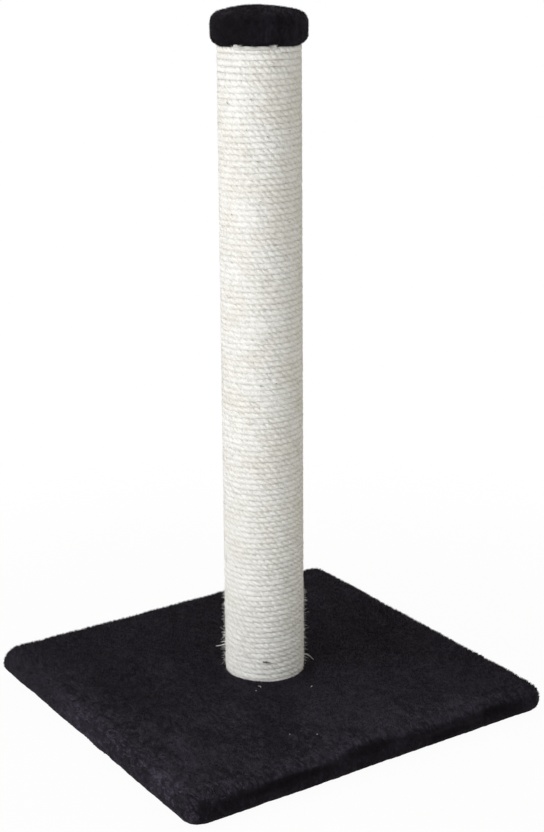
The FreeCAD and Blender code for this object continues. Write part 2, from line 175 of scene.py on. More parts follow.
def say(obj):
    """Prints how large a finished piece is."""
    faces = sum(len(p.vertices) - 2 for p in obj.data.polygons)
    print(f"{obj.name}: {len(obj.data.vertices)} points, {faces} triangles")
    return obj


# %% [markdown]
# ## Shader maths as Python expressions
#
# Each finish below is a small formula. Rather than placing Math nodes one by one, a thin class
# wraps the output of a node, and `+`, `-` and `*` on it add the nodes. Any other node comes from a
# method of the tree, which is that of a material or of the world.

# %% A socket that does sums
class Flow:
    """The output of a node. It joins in sums with numbers and with other outputs."""

    def __init__(self, nodes, socket):
        self.nodes = nodes
        self.socket = socket

    def __add__(self, other):
        return self.nodes.maths("ADD", self, other)

    def __sub__(self, other):
        return self.nodes.maths("SUBTRACT", self, other)

    def __rsub__(self, other):
        return self.nodes.maths("SUBTRACT", other, self)

    def __mul__(self, other):
        return self.nodes.maths("MULTIPLY", self, other)

    __radd__ = __add__
    __rmul__ = __mul__

    def size(self):
        return self.nodes.maths("ABSOLUTE", self)


# %% Nodes and finishes
class Nodes:
    """The node tree of a material or of the world, with a method for each kind of formula."""

    def __init__(self, tree):
        self.tree = tree

    def fill(self, socket, value):
        """Links an output to a socket, or gives the socket a fixed value."""
        if isinstance(value, Flow):
            self.tree.links.new(value.socket, socket)
        else:
            socket.default_value = value

    def node(self, kind, settings=None, values=(), output=0):
        """Adds a node. Its settings come first, then the values or links of its sockets."""
        node = self.tree.nodes.new(kind)
        for key, value in (settings or {}).items():
            setattr(node, key, value)
        for key, value in values.items() if isinstance(values, dict) else enumerate(values):
            self.fill(node.inputs[key], value)
        return Flow(self, node.outputs[output])

    def maths(self, operation, *values):
        return self.node("ShaderNodeMath", {"operation": operation}, values)

    def split(self, place):
        """The three numbers of a place."""
        first = self.node("ShaderNodeSeparateXYZ", {}, [place])
        return [Flow(self, socket) for socket in first.socket.node.outputs]

    def scaled(self, place, scale, turn=0.0):
        sockets = {"Vector": place, "Scale": scale, "Rotation": (0, 0, turn)}
        return self.node("ShaderNodeMapping", {}, sockets)

    def noise(self, place, size, detail=2.0, roughness=0.5, distortion=0.0):
        """Cloudy noise from 0 to 1 with bumps of about the given size in metres."""
        return self.node("ShaderNodeTexNoise", {}, {
            "Vector": place, "Scale": 1.0 / size, "Detail": detail, "Roughness": roughness,
            "Distortion": distortion})

    def cells(self, place, size, feature="F1", randomness=1.0, output="Distance"):
        """Cells of about the given size in metres."""
        sockets = {"Vector": place, "Scale": 1.0 / size, "Randomness": randomness}
        return self.node("ShaderNodeTexVoronoi", {"feature": feature}, sockets, output)

    def blend(self, amount, first, second):
        """A colour between two colours."""
        colours = {6: first, 7: second}
        for key, colour in colours.items():
            if not isinstance(colour, Flow):
                colours[key] = (*colour, 1.0)
        return self.node("ShaderNodeMix", {"data_type": "RGBA"}, {0: amount, **colours}, output=2)

    def between(self, value, low, high):
        """0 below low and 1 above high, with a soft step between them."""
        return self.node("ShaderNodeMapRange", {"interpolation_type": "SMOOTHSTEP"},
                         {"Value": value, "From Min": low, "From Max": high})

    def show(self, shader, output):
        """Links a shader to the tree's output node."""
        self.fill(output.inputs["Surface"], shader)


class Finish(Nodes):
    """A material that is built from formulas."""

    def __init__(self, name, **sockets):
        self.material = bpy.data.materials.new(name)
        self.material.use_nodes = True
        super().__init__(self.material.node_tree)
        self.shader = self.tree.nodes["Principled BSDF"]
        self.feed(**sockets)

    def feed(self, **sockets):
        """Fills the shader's sockets, which are named in small letters."""
        for key, value in sockets.items():
            name = key.replace("_", " ").title().replace("Ior", "IOR")
            self.fill(self.shader.inputs[name], value)

    def place(self):
        """Where a point is on the object, in metres."""
        return self.node("ShaderNodeTexCoord", output="Object")

    def strand(self):
        """The piece's own map, which follows a rope or a fibre."""
        return self.node("ShaderNodeUVMap", {"uv_map": "UVMap"})

    def dress(self, colour, roughness, height, depth):
        """Feeds in the colour, the roughness and a bump of a depth in metres."""
        sockets = {"Height": height, "Distance": depth, "Strength": 1.0}
        bump = self.node("ShaderNodeBump", {}, sockets)
        self.feed(base_color=colour, roughness=roughness, normal=bump)
        return self

    def give(self, *pieces):
        """Puts the material on pieces, in place of what they had."""
        for piece in pieces:
            piece.data.materials.clear()
            piece.data.materials.append(self.material)
        return self


# %% [markdown]
# ## The studio
#
# The photograph shows the post cut out on white. A large soft lamp stands at the left and a weaker
# one in front. The world fills in the rest, a little yellower from the right. The floor is pale
# and keeps a faint shadow. What the camera sees behind the post is plain white, which comes from
# the world's colour for camera rays and not from more light on the post.

# %% World and floor
AMBIENT = 0.50
LEFT_TINT, RIGHT_TINT = (1.02, 0.99, 0.96), (0.95, 0.89, 0.72)
WHITE = (1.0, 1.0, 1.0, 1.0)
FLOOR_GREY = (0.86, 0.86, 0.86, 1.0)
FLOOR_SIZE = 12.0
FLOOR_GLOW = 0.96
FADE_START, FADE_END = 0.3, 0.8


def studio_world():
    """Light from all round, and plain white for camera, mirrored and transmitted rays."""
    world = bpy.data.worlds.new("studio")
    world.use_nodes = True
    bpy.context.scene.world = world
    sky = Nodes(world.node_tree)
    sky.tree.nodes.clear()
    rays = sky.node("ShaderNodeLightPath").socket.node.outputs
    camera, mirrored, clear = (Flow(sky, rays[f"Is {kind} Ray"])
                               for kind in ("Camera", "Glossy", "Transmission"))
    seen = sky.maths("MAXIMUM", camera, sky.maths("MAXIMUM", mirrored, clear))
    sideways = sky.split(sky.node("ShaderNodeTexCoord", output="Generated"))[0]
    tint = sky.blend(sideways * 0.5 + 0.5, LEFT_TINT, RIGHT_TINT)
    light = sky.node("ShaderNodeBackground", {}, {"Color": tint, "Strength": AMBIENT})
    backdrop = sky.node("ShaderNodeBackground", {}, {"Color": WHITE, "Strength": 1.0})
    both = sky.node("ShaderNodeMixShader", {}, [seen, light, backdrop])
    sky.show(both, sky.tree.nodes.new("ShaderNodeOutputWorld"))


def studio_floor():
    """A pale floor. The camera sees it mostly as plain white, so that its shadow stays faint. Far
    from the post it is all white and has no visible edge."""
    start_clean()
    bpy.ops.mesh.primitive_plane_add(size=FLOOR_SIZE, location=(0, 0, 0))
    floor = name_it(bpy.context.object, "studio_floor")
    bpy.ops.object.transform_apply(location=True, rotation=True, scale=True)
    paint = Finish("floor_paint", base_color=FLOOR_GREY, roughness=0.9)
    away = paint.node("ShaderNodeVectorMath", {"operation": "LENGTH"}, [paint.place()], output=1)
    faded = FLOOR_GLOW + paint.between(away, FADE_START, FADE_END) * (1 - FLOOR_GLOW)
    seen = paint.node("ShaderNodeLightPath", output="Is Camera Ray") * faded
    painted = Flow(paint, paint.shader.outputs[0])
    white = paint.node("ShaderNodeEmission", {}, {"Color": WHITE, "Strength": 1.0})
    surface = paint.node("ShaderNodeMixShader", {}, [seen, painted, white])
    paint.show(surface, paint.tree.nodes["Material Output"])
    paint.give(floor)


studio_world()
studio_floor()

# %% Lamps
POST_HEART = (0.0, 0.0, 0.33)


def soft_lamp(name, place, width, power, colour):
    """A square area lamp that points at the post."""
    start_clean()
    bpy.ops.object.light_add(type="AREA", location=place)
    lamp = bpy.context.object
    lamp.name = name
    lamp.data.size = width
    lamp.data.energy = power
    lamp.data.color = colour
    ahead = Vector(POST_HEART) - Vector(place)
    lamp.rotation_euler = ahead.to_track_quat("-Z", "Y").to_euler()


soft_lamp("key_lamp", (-2.1, -0.1, 0.75), width=1.6, power=28.6, colour=(0.975, 0.985, 1.0))
soft_lamp("front_lamp", (-0.9, -2.2, 0.8), width=1.4, power=8.3, colour=(0.80, 0.89, 1.0))

# %% [markdown]
# ## The camera
#
# The camera's place and lens were worked out from the photograph: from the straight edges of the
# base, the sides of the post and the outline of the cap. It looks down on the base by about 17
# degrees from the front left, and leans by less than half a degree.

# %% Camera
CAMERA_PLACE = Vector((-0.8025, -1.2285, 0.7301))
CAMERA_AZIMUTH = math.radians(-33.50)
CAMERA_DIP = math.radians(16.908)
CAMERA_ROLL = -0.0075
FOCAL_PIXELS = 1633.8
PICTURE_HEIGHT = 832
SENSOR = 36.0


def photo_camera():
    forward = Vector((-math.sin(CAMERA_AZIMUTH) * math.cos(CAMERA_DIP),
                      math.cos(CAMERA_AZIMUTH) * math.cos(CAMERA_DIP),
                      -math.sin(CAMERA_DIP)))
    level = Vector((math.cos(CAMERA_AZIMUTH), math.sin(CAMERA_AZIMUTH), 0.0))
    upward = level.cross(forward)
    right = level * math.cos(CAMERA_ROLL) + upward * math.sin(CAMERA_ROLL)
    top = upward * math.cos(CAMERA_ROLL) - level * math.sin(CAMERA_ROLL)
    start_clean()
    bpy.ops.object.camera_add(location=CAMERA_PLACE)
    camera = bpy.context.object
    camera.name = "photo_camera"
    turn = Matrix((right, top, -forward)).transposed()
    camera.matrix_world = Matrix.Translation(CAMERA_PLACE) @ turn.to_4x4()
    camera.data.sensor_width = SENSOR
    camera.data.lens = SENSOR * FOCAL_PIXELS / PICTURE_HEIGHT
    bpy.context.scene.camera = camera
    return camera


photo_camera()
bpy.context.scene.view_settings.view_transform = "Standard"
print("camera lens, mm:", round(bpy.context.scene.camera.data.lens, 1))

# %% [markdown]
# ## The rope's path
#
# Sisal rope is laid from three strands. On the post it runs round the tube in turns that are
# knocked tightly together. A rope is wound by hand, so the first and last turns lie level against
# the base and the cap, and climb to the next turn at the back. In between, the rope climbs evenly.
# One formula gives the height after any number of turns, and smooth noise gives the small errors
# of the hand.

# %% Path of the winding
ROPE_RADIUS = 3.2 * MM
ROPE_TURNS = 112
ROPE_STEP = 1.7 * MM
ROPE_START_ANGLE = math.radians(57.0)
LEVEL_TURNS = 3.0
CLIMB_SHARE = 0.25
HEAD_LIFT, HEAD_TURNS = 0.8 * MM, 4
WANDER, JITTER = 0.40 * MM, 0.12 * MM
TAPER, WOBBLE = 0.4 * MM, 0.20 * MM

turn_pitch = (POST_TOP - POST_BOTTOM) / ROPE_TURNS
first_height = POST_BOTTOM + turn_pitch / 2
outside_radius = wrap_radius + 0.5 * MM
winding_radius = outside_radius - ROPE_RADIUS
turn_length = 2 * math.pi * winding_radius


def winding_height(turns):
    """Height of the rope's middle after some turns: in level turns near the ends, even between."""
    from_end = np.minimum(turns, ROPE_TURNS - turns)
    whole = np.floor(from_end)
    stepped = whole + ease((from_end - whole - (1 - CLIMB_SHARE)) / CLIMB_SHARE)
    stepped = np.where(turns * 2 < ROPE_TURNS, stepped, ROPE_TURNS - 1 - stepped)
    share = turns / ROPE_TURNS
    even = (ROPE_TURNS - 1) * share - (1 - CLIMB_SHARE) / 2 * (1 - 2 * share)
    level = 1 - ease((from_end - LEVEL_TURNS) / LEVEL_TURNS)
    lifted = HEAD_LIFT * ease(1 - (ROPE_TURNS - turns) / HEAD_TURNS)
    return first_height + turn_pitch * (level * stepped + (1 - level) * even) + lifted


def taper(turns):
    """How far the winding is thicker than its mean, at the foot, or thinner, at the head."""
    return TAPER * (1 - 2 * turns / ROPE_TURNS)


def along_rope(turns, size):
    """Places on a line, for noise that follows the rope with bumps of about the given size."""
    length = turns * turn_length / size
    return np.column_stack([length, 0 * length, 0 * length])


def winding_points(start, end):
    """Points along the rope's middle between two counts of turns, and the turns at each point."""
    count = int(round((end - start) * turn_length / ROPE_STEP)) + 1
    turns = np.linspace(start, end, count)
    angle = ROPE_START_ANGLE + 2 * math.pi * turns
    height = winding_height(turns)
    around = at_angle(1.0, angle, height / (30 * MM))
    sway = wavy(around, 1.0, 1.0) + 0.4 * wavy(around, 0.35, 2.0)
    room = ease(np.minimum(turns, ROPE_TURNS - turns) / 2)
    height = height + WANDER * sway * room + JITTER * wavy(around, 0.12, 22.0)
    radius = winding_radius + WOBBLE * wavy(along_rope(turns, 25 * MM), 1.0, 3.0) + taper(turns)
    return at_angle(radius, angle, height), turns


print(f"rope: {ROPE_TURNS} turns, {turn_pitch / MM:.2f} mm apart, "
      f"{ROPE_TURNS * turn_length:.1f} m long")

# %% [markdown]
# ## The laid rope
#
# A rope could be three separate tubes twisted together, but most of their surface would be hidden.
# One tube with a three-lobed section, turned a little further at each point, shows the same thing.
# A curve object does this: the section is its bevel object, and the tilt of each point turns it.
# The lay is right-handed, so on a level turn the strands slope down to the right.
#
# Wound under tension, each turn is pressed flat against the tube and against its neighbours, and
# only its outer face stays a little round. So each point is moved in or out along its own
# direction from the rope's middle, until the section has that shape. The strands keep their relief
# on the outer face, more at the foot than higher up. Where two turns meet, a strand's crest
# reaches a little over the middle of the gap and its valley falls short, so the line between the
# turns wavers. The rope is cut into six stretches, so that no mesh grows too large.

# %% Section of the rope
LAY_LENGTH = 17.5 * MM
SECTION_POINTS = 21
STRAND_DEPTH = 0.27
CROWN = 0.50 * MM
SIDE_LOW, SIDE_SWING = 0.91, 0.20
FOOT_RELIEF, RELIEF_LOSS = 1.15, 0.35
FOOT_HEIGHT, FOOT_FADE = 0.10, 0.20


def rope_section():
    """The outline of three strands pressed together, as a flat closed curve."""
    outline = bpy.data.curves.new("rope_section", "CURVE")
    outline.dimensions = "2D"
    spline = outline.splines.new("POLY")
    spline.points.add(SECTION_POINTS - 1)
    for index, point in enumerate(spline.points):
        angle = 2 * math.pi * (index + 0.5) / SECTION_POINTS
        crest = abs(math.cos(1.5 * angle)) ** 0.8
        radius = ROPE_RADIUS * (1 - STRAND_DEPTH + STRAND_DEPTH * crest)
        point.co = (radius * math.cos(angle), radius * math.sin(angle), 0.0, 1.0)
    spline.use_cyclic_u = True
    obj = bpy.data.objects.new("rope_section", outline)
    bpy.context.scene.collection.objects.link(obj)
    return obj


# %% Stretches of rope
def tube_along(name, points, radii, tilts, section):
    """A tube with a section along points, made from a curve and turned into a mesh."""
    curve = bpy.data.curves.new(name, "CURVE")
    curve.dimensions = "3D"
    curve.bevel_mode = "OBJECT"
    curve.bevel_object = section
    curve.twist_mode = "Z_UP"
    curve.use_fill_caps = True
    spline = curve.splines.new("POLY")
    spline.points.add(len(points) - 1)
    spline.points.foreach_set("co", np.column_stack([points, np.ones(len(points))]).ravel())
    spline.points.foreach_set("radius", radii)
    spline.points.foreach_set("tilt", tilts)
    obj = bpy.data.objects.new(name, curve)
    bpy.context.scene.collection.objects.link(obj)
    pick(obj)
    bpy.ops.object.convert(target="MESH")
    bpy.ops.object.shade_smooth()
    return bpy.context.object


def pressed_reach(sine, cosine):
    """How far the pressed section reaches in a direction, from the rope's middle."""
    bow = CROWN * np.maximum(np.abs(sine), 0.02) ** 2 / (turn_pitch / 2) ** 2
    face = (np.sqrt(cosine ** 2 + 4 * bow * ROPE_RADIUS) - cosine) / (2 * bow)
    side = turn_pitch * 0.505 / np.maximum(np.abs(sine), 0.02)
    back = (winding_radius - TUBE_RADIUS) / np.maximum(-cosine, 0.02)
    return (face ** -12 + side ** -12 + back ** -12) ** (-1 / 12)


def press(obj, middle):
    """Presses a stretch of rope against the tube and the next turns, and roughens its face."""
    points = coordinates(obj)
    own = middle[np.minimum(np.arange(len(points)) // SECTION_POINTS, len(middle) - 1)]
    own_radius = np.hypot(own[:, 0], own[:, 1])
    radius = np.hypot(points[:, 0], points[:, 1])
    out, rise = radius - own_radius, points[:, 2] - own[:, 2]
    reach = np.hypot(out, rise) + 1e-9
    full = pressed_reach(rise / reach, out / reach)
    strength = FOOT_RELIEF - RELIEF_LOSS * ease((own[:, 2] - FOOT_HEIGHT) / FOOT_FADE)
    relief = 1 - (1 - reach / ROPE_RADIUS) * strength
    rough = 0.22 * MM * wavy(points, 2.6 * MM, 20.0) + 0.26 * MM * wavy(points, 6.5 * MM, 21.0)
    new_out = out / reach * full * relief + rough * np.clip(out / ROPE_RADIUS, 0, 1)
    points[:, :2] *= ((own_radius + new_out) / radius)[:, None]
    crest = np.clip(1 + (relief - 1) / STRAND_DEPTH, 0.0, 1.3)
    points[:, 2] = own[:, 2] + rise / reach * full * (SIDE_LOW + SIDE_SWING * crest)
    set_coordinates(obj, points)
    return obj


def rope_stretch(name, start, end, section):
    points, turns = winding_points(start, end)
    along = along_rope(turns, 9 * MM)
    radii = 1.0 + 0.07 * wavy(along, 1.0, 4.0) + 0.04 * wavy(along, 6.0, 5.0)
    lay = 2 * math.pi * (turns * turn_length) / LAY_LENGTH
    tilts = lay + 1.0 * wavy(along, 4.0, 6.0) + 0.9 * wavy(along, 0.9, 25.0)
    return say(press(tube_along(name, points, radii, tilts, section), points))


ROPE_NAMES = ("rope_foot", "rope_low", "rope_middle", "rope_high", "rope_upper", "rope_head")
ROPE_BREAKS = (0.0, 18.0, 37.0, 56.0, 75.0, 94.0, 112.0)
section = rope_section()
rope_pieces = [rope_stretch(name, start, end, section)
               for name, start, end in zip(ROPE_NAMES, ROPE_BREAKS, ROPE_BREAKS[1:])]
bpy.data.objects.remove(section)

# %% Sisal finish
DULL_FIBRE, GREY_GRAIN = (0.62, 0.59, 0.51), (0.58, 0.56, 0.50)
# The furrow colour is painted shade between the strands; the husk colour is that of real specks.
FURROW_SHADE, HUSK = (0.50, 0.48, 0.43), (0.20, 0.16, 0.11)


def sisal(name, pale, straw, dirt, laid=False):
    """Bleached sisal: long fine fibres along each strand, pale to straw, with a few brown specks.

    The colours are weaker at the foot, where the rope is painted paler as painted light. In a laid
    rope the furrows between the strands are painted greyer as painted shade, in some places more
    than in others.
    """
    finish = Finish(name, specular_ior_level=0.3)
    fibres = finish.noise(finish.scaled(finish.strand(), (420.0, 20.0, 1.0)), 1.0, 3.0, 0.6)
    place = finish.place()
    patches = finish.noise(place, 26 * MM, 3.0)
    tuft = finish.noise(place, 2.2 * MM, 3.0, 0.6)
    grain = finish.noise(place, 1.5 * MM, 2.0, 0.6)
    specks = finish.noise(finish.scaled(place, (1.0, 1.0, 2.6)), 3.4 * MM, 2.0, 0.7)
    # Painted light: towards the foot the tones are weaker, so the rope is painted paler there.
    above_painted_foot_light = 0.40 + finish.between(finish.split(place)[2], 0.05, 0.24) * 0.60
    colour = finish.blend(finish.between(patches, 0.35, 0.7) * above_painted_foot_light, pale, straw)
    colour = finish.blend(finish.between(fibres, 0.56, 0.78) * above_painted_foot_light * 0.5, colour, DULL_FIBRE)
    colour = finish.blend(finish.between(grain, 0.48, 0.66) * above_painted_foot_light * 0.30, colour, GREY_GRAIN)
    if laid:
        # Painted shade: the furrows between the strands are painted a darker grey, unevenly.
        around = finish.split(finish.strand())[1] * (3 * math.pi) + 1.5 * math.pi / SECTION_POINTS
        valley = 1 - finish.between(finish.maths("COSINE", around).size(), 0.0, 0.70)
        uneven = finish.between(tuft + patches, 0.85, 1.15) * (0.54 - above_painted_foot_light * 0.34) + 0.02
        colour = finish.blend(valley * uneven, colour, FURROW_SHADE)
    colour = finish.blend(finish.between(specks, 0.74, 0.80) * dirt, colour, HUSK)
    return finish.dress(colour, 0.5 + tuft * 0.3, fibres + tuft + grain * 0.8, 0.42 * MM)


rope_finish = sisal("sisal_rope", (0.94, 0.932, 0.905), (0.905, 0.885, 0.835), 0.6, laid=True)
rope_finish.give(*rope_pieces)

# %% [markdown]
# ## Loose fibres on the rope
#
# Sisal is never smooth: short ends stand off every strand and bridge the gaps between the turns,
# and a few long ones stick out. They are what makes the rope look soft. Each one is a thin
# tapering thread of a few faces. Most start along the strand and lift off the rope, and the ends
# curl.

# %% Threads
def threads(name, paths, width, sides=3, tip=0.25):
    """Thin tapering threads along paths, as one mesh. Each path has the same number of points."""
    paths = np.asarray(paths)
    count, steps, _ = paths.shape
    ahead = np.gradient(paths, axis=1)
    ahead /= np.linalg.norm(ahead, axis=2, keepdims=True) + 1e-12
    side = np.cross(ahead, (0.31, 0.52, 0.79))
    side /= np.linalg.norm(side, axis=2, keepdims=True) + 1e-12
    lift = np.cross(ahead, side)
    widths = np.broadcast_to(width, (count,))[:, None, None]
    thin = np.linspace(1.0, tip, steps)[None, :, None] * widths
    rings = [paths + thin * (side * math.cos(a) + lift * math.sin(a))
             for a in np.arange(sides) * 2 * math.pi / sides]
    points = np.stack(rings, axis=2).reshape(-1, 3)
    first = np.arange(count)[:, None, None] * steps * sides
    step = np.arange(steps - 1)[None, :, None] * sides
    here = np.arange(sides)[None, None, :]
    there = (here + 1) % sides
    near, far = first + step, first + step + sides
    quads = np.stack([near + here, near + there, far + there, far + here], axis=3).reshape(-1, 4)
    start = (first[:, 0] + np.arange(sides)[None, ::-1]).reshape(-1, sides)
    end = (first[:, 0] + (steps - 1) * sides + np.arange(sides)[None, :]).reshape(-1, sides)
    obj = mesh_object(name, points, quads.tolist() + start.tolist() + end.tolist())
    bpy.ops.object.shade_smooth()
    return obj


def rope_fibres(name, count, length, lift, width, slope=-0.35, stray=0.25,
                high=ROPE_TURNS - 1.4, curl=1.7):
    """Threads that leave the rope at random places, along the strand at first and then outwards."""
    turns = rng.uniform(0.4, high, count)
    angle = ROPE_START_ANGLE + 2 * math.pi * turns
    height = winding_height(turns) + rng.uniform(-2.6, 2.6, count) * MM
    run = rng.uniform(0.4, 1.0, count) * length
    rise = rng.normal(0.0, 1.0, count) * lift
    way = rng.choice((-1.0, 1.0), count)
    climb = (rng.normal(slope, stray, count) * way) * run
    surface = outside_radius + taper(turns) - 0.35 * MM
    paths = [at_angle(surface + np.abs(rise) * t ** curl + 0.25 * MM * t,
                      angle + way * run * t / surface,
                      height + climb * t + 0.3 * rise * t * t) for t in np.linspace(0.0, 1.0, 4)]
    return say(threads(name, np.stack(paths, axis=1), width))


# How many, then the greatest length, the lift and the width in millimetres, and what else differs.
FIBRES = {
    "short": (9500, 6.0, 0.22, 0.095, {}),
    "crossing": (6000, 4.5, 0.25, 0.13, {"stray": 0.8}),
    "grey": (3600, 4.0, 0.18, 0.11, {"stray": 0.6}),
    "long": (500, 9.0, 0.9, 0.08, {}),
    "foot": (2400, 3.6, 2.1, 0.18, {"high": 16.0, "curl": 1.1}),
    "brown": (300, 6.0, 0.12, 0.10, {"slope": -0.05}),
}
fibres = {kind: rope_fibres(f"rope_{kind}_fibres", count, length * MM, lift * MM, width * MM, **more)
          for kind, (count, length, lift, width, more) in FIBRES.items()}

# %% Stray ends and dark flecks
# Ends that stick out: an angle in degrees, a height, and steps outwards and up, in millimetres.
STRAYS = (
    (147.0, 51.0, ((0.0, 0.0), (3.5, -0.6), (7.0, -1.7), (10.2, -1.9))),
    (149.0, 53.0, ((0.0, 0.0), (1.5, 1.2), (3.2, 1.6), (4.4, 0.4))),
    (327.0, 39.5, ((0.0, 0.0), (3.4, -0.2), (7.2, -2.6), (10.6, -6.4))),
    (326.0, 97.0, ((0.0, 0.0), (1.4, 0.3), (2.6, 0.2), (4.0, -0.2))),
    (329.0, 63.0, ((0.0, 0.0), (1.0, 0.9), (1.6, 1.9), (1.9, 3.2))),
    (146.0, 92.0, ((0.0, 0.0), (1.0, 1.3), (1.4, 2.6), (1.3, 4.0))),
    (148.0, 61.0, ((0.0, 0.0), (1.2, 0.2), (2.3, -0.2), (3.3, 0.3))),
)
# Flecks of husk: an angle in degrees and a height in millimetres.
FLECKS = (
    (238.7, 492.4), (258.7, 453.4), (217.0, 328.5), (236.5, 324.2), (257.4, 325.3), (164.6, 257.7),
    (188.8, 403.5), (241.5, 395.9), (190.6, 576.5), (247.4, 549.1), (280.4, 552.9), (279.7, 472.6),
    (226.9, 580.9), (195.1, 479.4), (235.3, 527.5), (257.5, 608.6), (219.7, 554.3), (268.4, 532.7),
    (35.0, 130.0), (60.0, 310.0), (98.0, 505.0), (10.0, 420.0), (120.0, 210.0), (340.0, 560.0),
)


# Fluff pushed up into the cap's hem: place and half width in degrees, rise in millimetres.
HEM_FLUFF = (
    (206.0, 5.0, 3.2), (222.0, 7.0, 1.8), (241.0, 9.0, 1.7), (256.5, 2.2, 2.8), (60.0, 9.0, 2.0),
)
FLUFF_PER_DEGREE = 14
# The dark curl near the foot: where its three bits start, and the path of each.
CURL_STARTS = (234.0, 236.5, 239.0)
CURL_PATH = ((0.0, 50.2), (2.0, 48.8), (4.2, 48.9), (6.5, 47.0))


def stray_ends():
    """Long ends that stick straight out of the rope."""
    paths = []
    for degrees, height, steps in STRAYS:
        out, rise = np.array(steps).T
        paths.append(at_angle(outside_radius + (out - 0.5) * MM, math.radians(degrees),
                              (height + rise) * MM))
    return say(threads("rope_stray_ends", paths, 0.50 * MM, tip=0.6))


def hem_fluff():
    """Short ends of the top turn that stand up in the waves of the cap's hem."""
    t = np.array((0.0, 0.35, 0.7, 1.0))
    paths = []
    for place, half_width, rise in HEM_FLUFF:
        for _ in range(int(FLUFF_PER_DEGREE * half_width)):
            aside = rng.normal(0.0, 0.6)
            angle = math.radians(place + aside * half_width)
            lean = rng.normal(0.0, 0.05)
            high = rise * math.exp(-aside * aside) * rng.uniform(0.7, 1.05) * MM
            paths.append(at_angle(outside_radius + (1.3 * t - 0.2) * MM, angle + lean * t,
                                  POST_TOP - 2.0 * MM + (high + 2.0 * MM) * t))
    return say(threads("rope_hem_fluff", paths, 0.24 * MM, tip=0.5))


def dark_flecks():
    """Short dark bits of husk that are caught in the rope, and one darker curl near the foot."""
    t = np.array((-1.0, -0.3, 0.4, 1.0))
    paths, widths = [], []
    for degrees, height in FLECKS:
        half = rng.uniform(0.6, 2.2) * MM / outside_radius
        tilt = rng.uniform(-0.9, 0.3) * MM
        bend = rng.uniform(-0.5, 0.5) * MM
        paths.append(at_angle(outside_radius + 0.35 * MM, math.radians(degrees) + half * t,
                              height * MM + tilt * t + bend * t * t))
        widths.append(rng.uniform(0.16, 0.36) * MM)
    for start in CURL_STARTS:
        degrees, height = np.array(CURL_PATH).T
        paths.append(at_angle(outside_radius + 0.8 * MM, np.radians(start + degrees), height * MM))
        widths.append(0.60 * MM)
    return say(threads("rope_flecks", paths, np.array(widths), sides=5))


stray_fibres, fluff, flecks = stray_ends(), hem_fluff(), dark_flecks()
pale_fibres = [fibres[kind] for kind in ("short", "crossing", "long", "foot")]
fibre_finish = sisal("sisal_fibre", (0.93, 0.92, 0.89), (0.88, 0.86, 0.80), 0.3)
fibre_finish.give(*pale_fibres, stray_fibres, fluff)
sisal("sisal_shade", (0.60, 0.57, 0.50), (0.70, 0.67, 0.60), 0.5).give(fibres["grey"])
sisal("sisal_brown", (0.36, 0.31, 0.23), (0.48, 0.42, 0.33), 0.5).give(fibres["brown"])
sisal("sisal_husk", (0.075, 0.068, 0.055), (0.22, 0.19, 0.14), 0.5).give(flecks)
rope_dressing = [*fibres.values(), stray_fibres, fluff, flecks]

# %% [markdown]
# ## A loft from ring to ring
#
# The plush covers and the liner are closed skins round a middle: each is a pile of rings, from its
# inner rim over the outside and back along the inside. `ring_loft` starts from a circle, extrudes
# its edge once for each ring, and puts the new points in their places. The last ring is joined to
# the first.

# %% Ring loft
def rounded_ring(width, depth, corner, count):
    """Evenly spaced points on a rectangle with round corners, from its right side's middle."""
    a, b = width / 2 - corner, depth / 2 - corner
    bend = corner * math.pi / 2
    lengths = [b, bend, 2 * a, bend, 2 * b, bend, 2 * a, bend, b]
    ends = np.cumsum(lengths)
    points = []
    for place in np.arange(count) * ends[-1] / count:
        leg = int(np.searchsorted(ends, place, side="right"))
        rest = place - (ends[leg] - lengths[leg])
        if leg in (0, 8):
            points.append((a + corner, rest if leg == 0 else rest - b))
        elif leg == 2:
            points.append((a - rest, b + corner))
        elif leg == 4:
            points.append((-a - corner, b - rest))
        elif leg == 6:
            points.append((-a + rest, -b - corner))
        else:
            quarter = (leg - 1) // 2
            x, y = [(a, b), (-a, b), (-a, -b), (a, -b)][quarter]
            angle = quarter * math.pi / 2 + rest / corner
            points.append((x + corner * math.cos(angle), y + corner * math.sin(angle)))
    return np.array(points)


def ring_loft(name, rings, closed=True):
    """A skin through rings of points, each ring with the same count."""
    start_clean()
    bpy.ops.mesh.primitive_circle_add(vertices=len(rings[0]), radius=1.0)
    obj = name_it(bpy.context.object, name)
    edit(obj)
    for _ in rings[1:]:
        bpy.ops.mesh.extrude_edges_move()
    bpy.ops.object.mode_set(mode="OBJECT")
    set_coordinates(obj, np.concatenate(rings))
    if closed:
        join_ends(obj, len(rings[0]))
    return obj


def join_ends(obj, count):
    """Bridges the first ring of a loft to its last one."""
    edit(obj, "DESELECT")
    bpy.ops.mesh.select_mode(type="EDGE")
    mesh = bmesh.from_edit_mesh(obj.data)
    mesh.verts.ensure_lookup_table()
    total = len(mesh.verts)
    for edge in mesh.edges:
        first, second = (v.index for v in edge.verts)
        if max(first, second) < count or min(first, second) >= total - count:
            edge.select_set(True)
    bmesh.update_edit_mesh(obj.data)
    bpy.ops.mesh.bridge_edge_loops()
    face_outwards(obj)


# %% [markdown]
# ## The base's plush cover
#
# The real cover is a piece of short-pile plush, drawn over the board, folded under and stapled.
# The profile below goes once round it: the seat that the post presses into the pile, the flat top,
# the soft rim, the side, the hem underneath and the cloth's inner side back to the middle. The
# rings change from a circle round the post to the base's rounded rectangle.

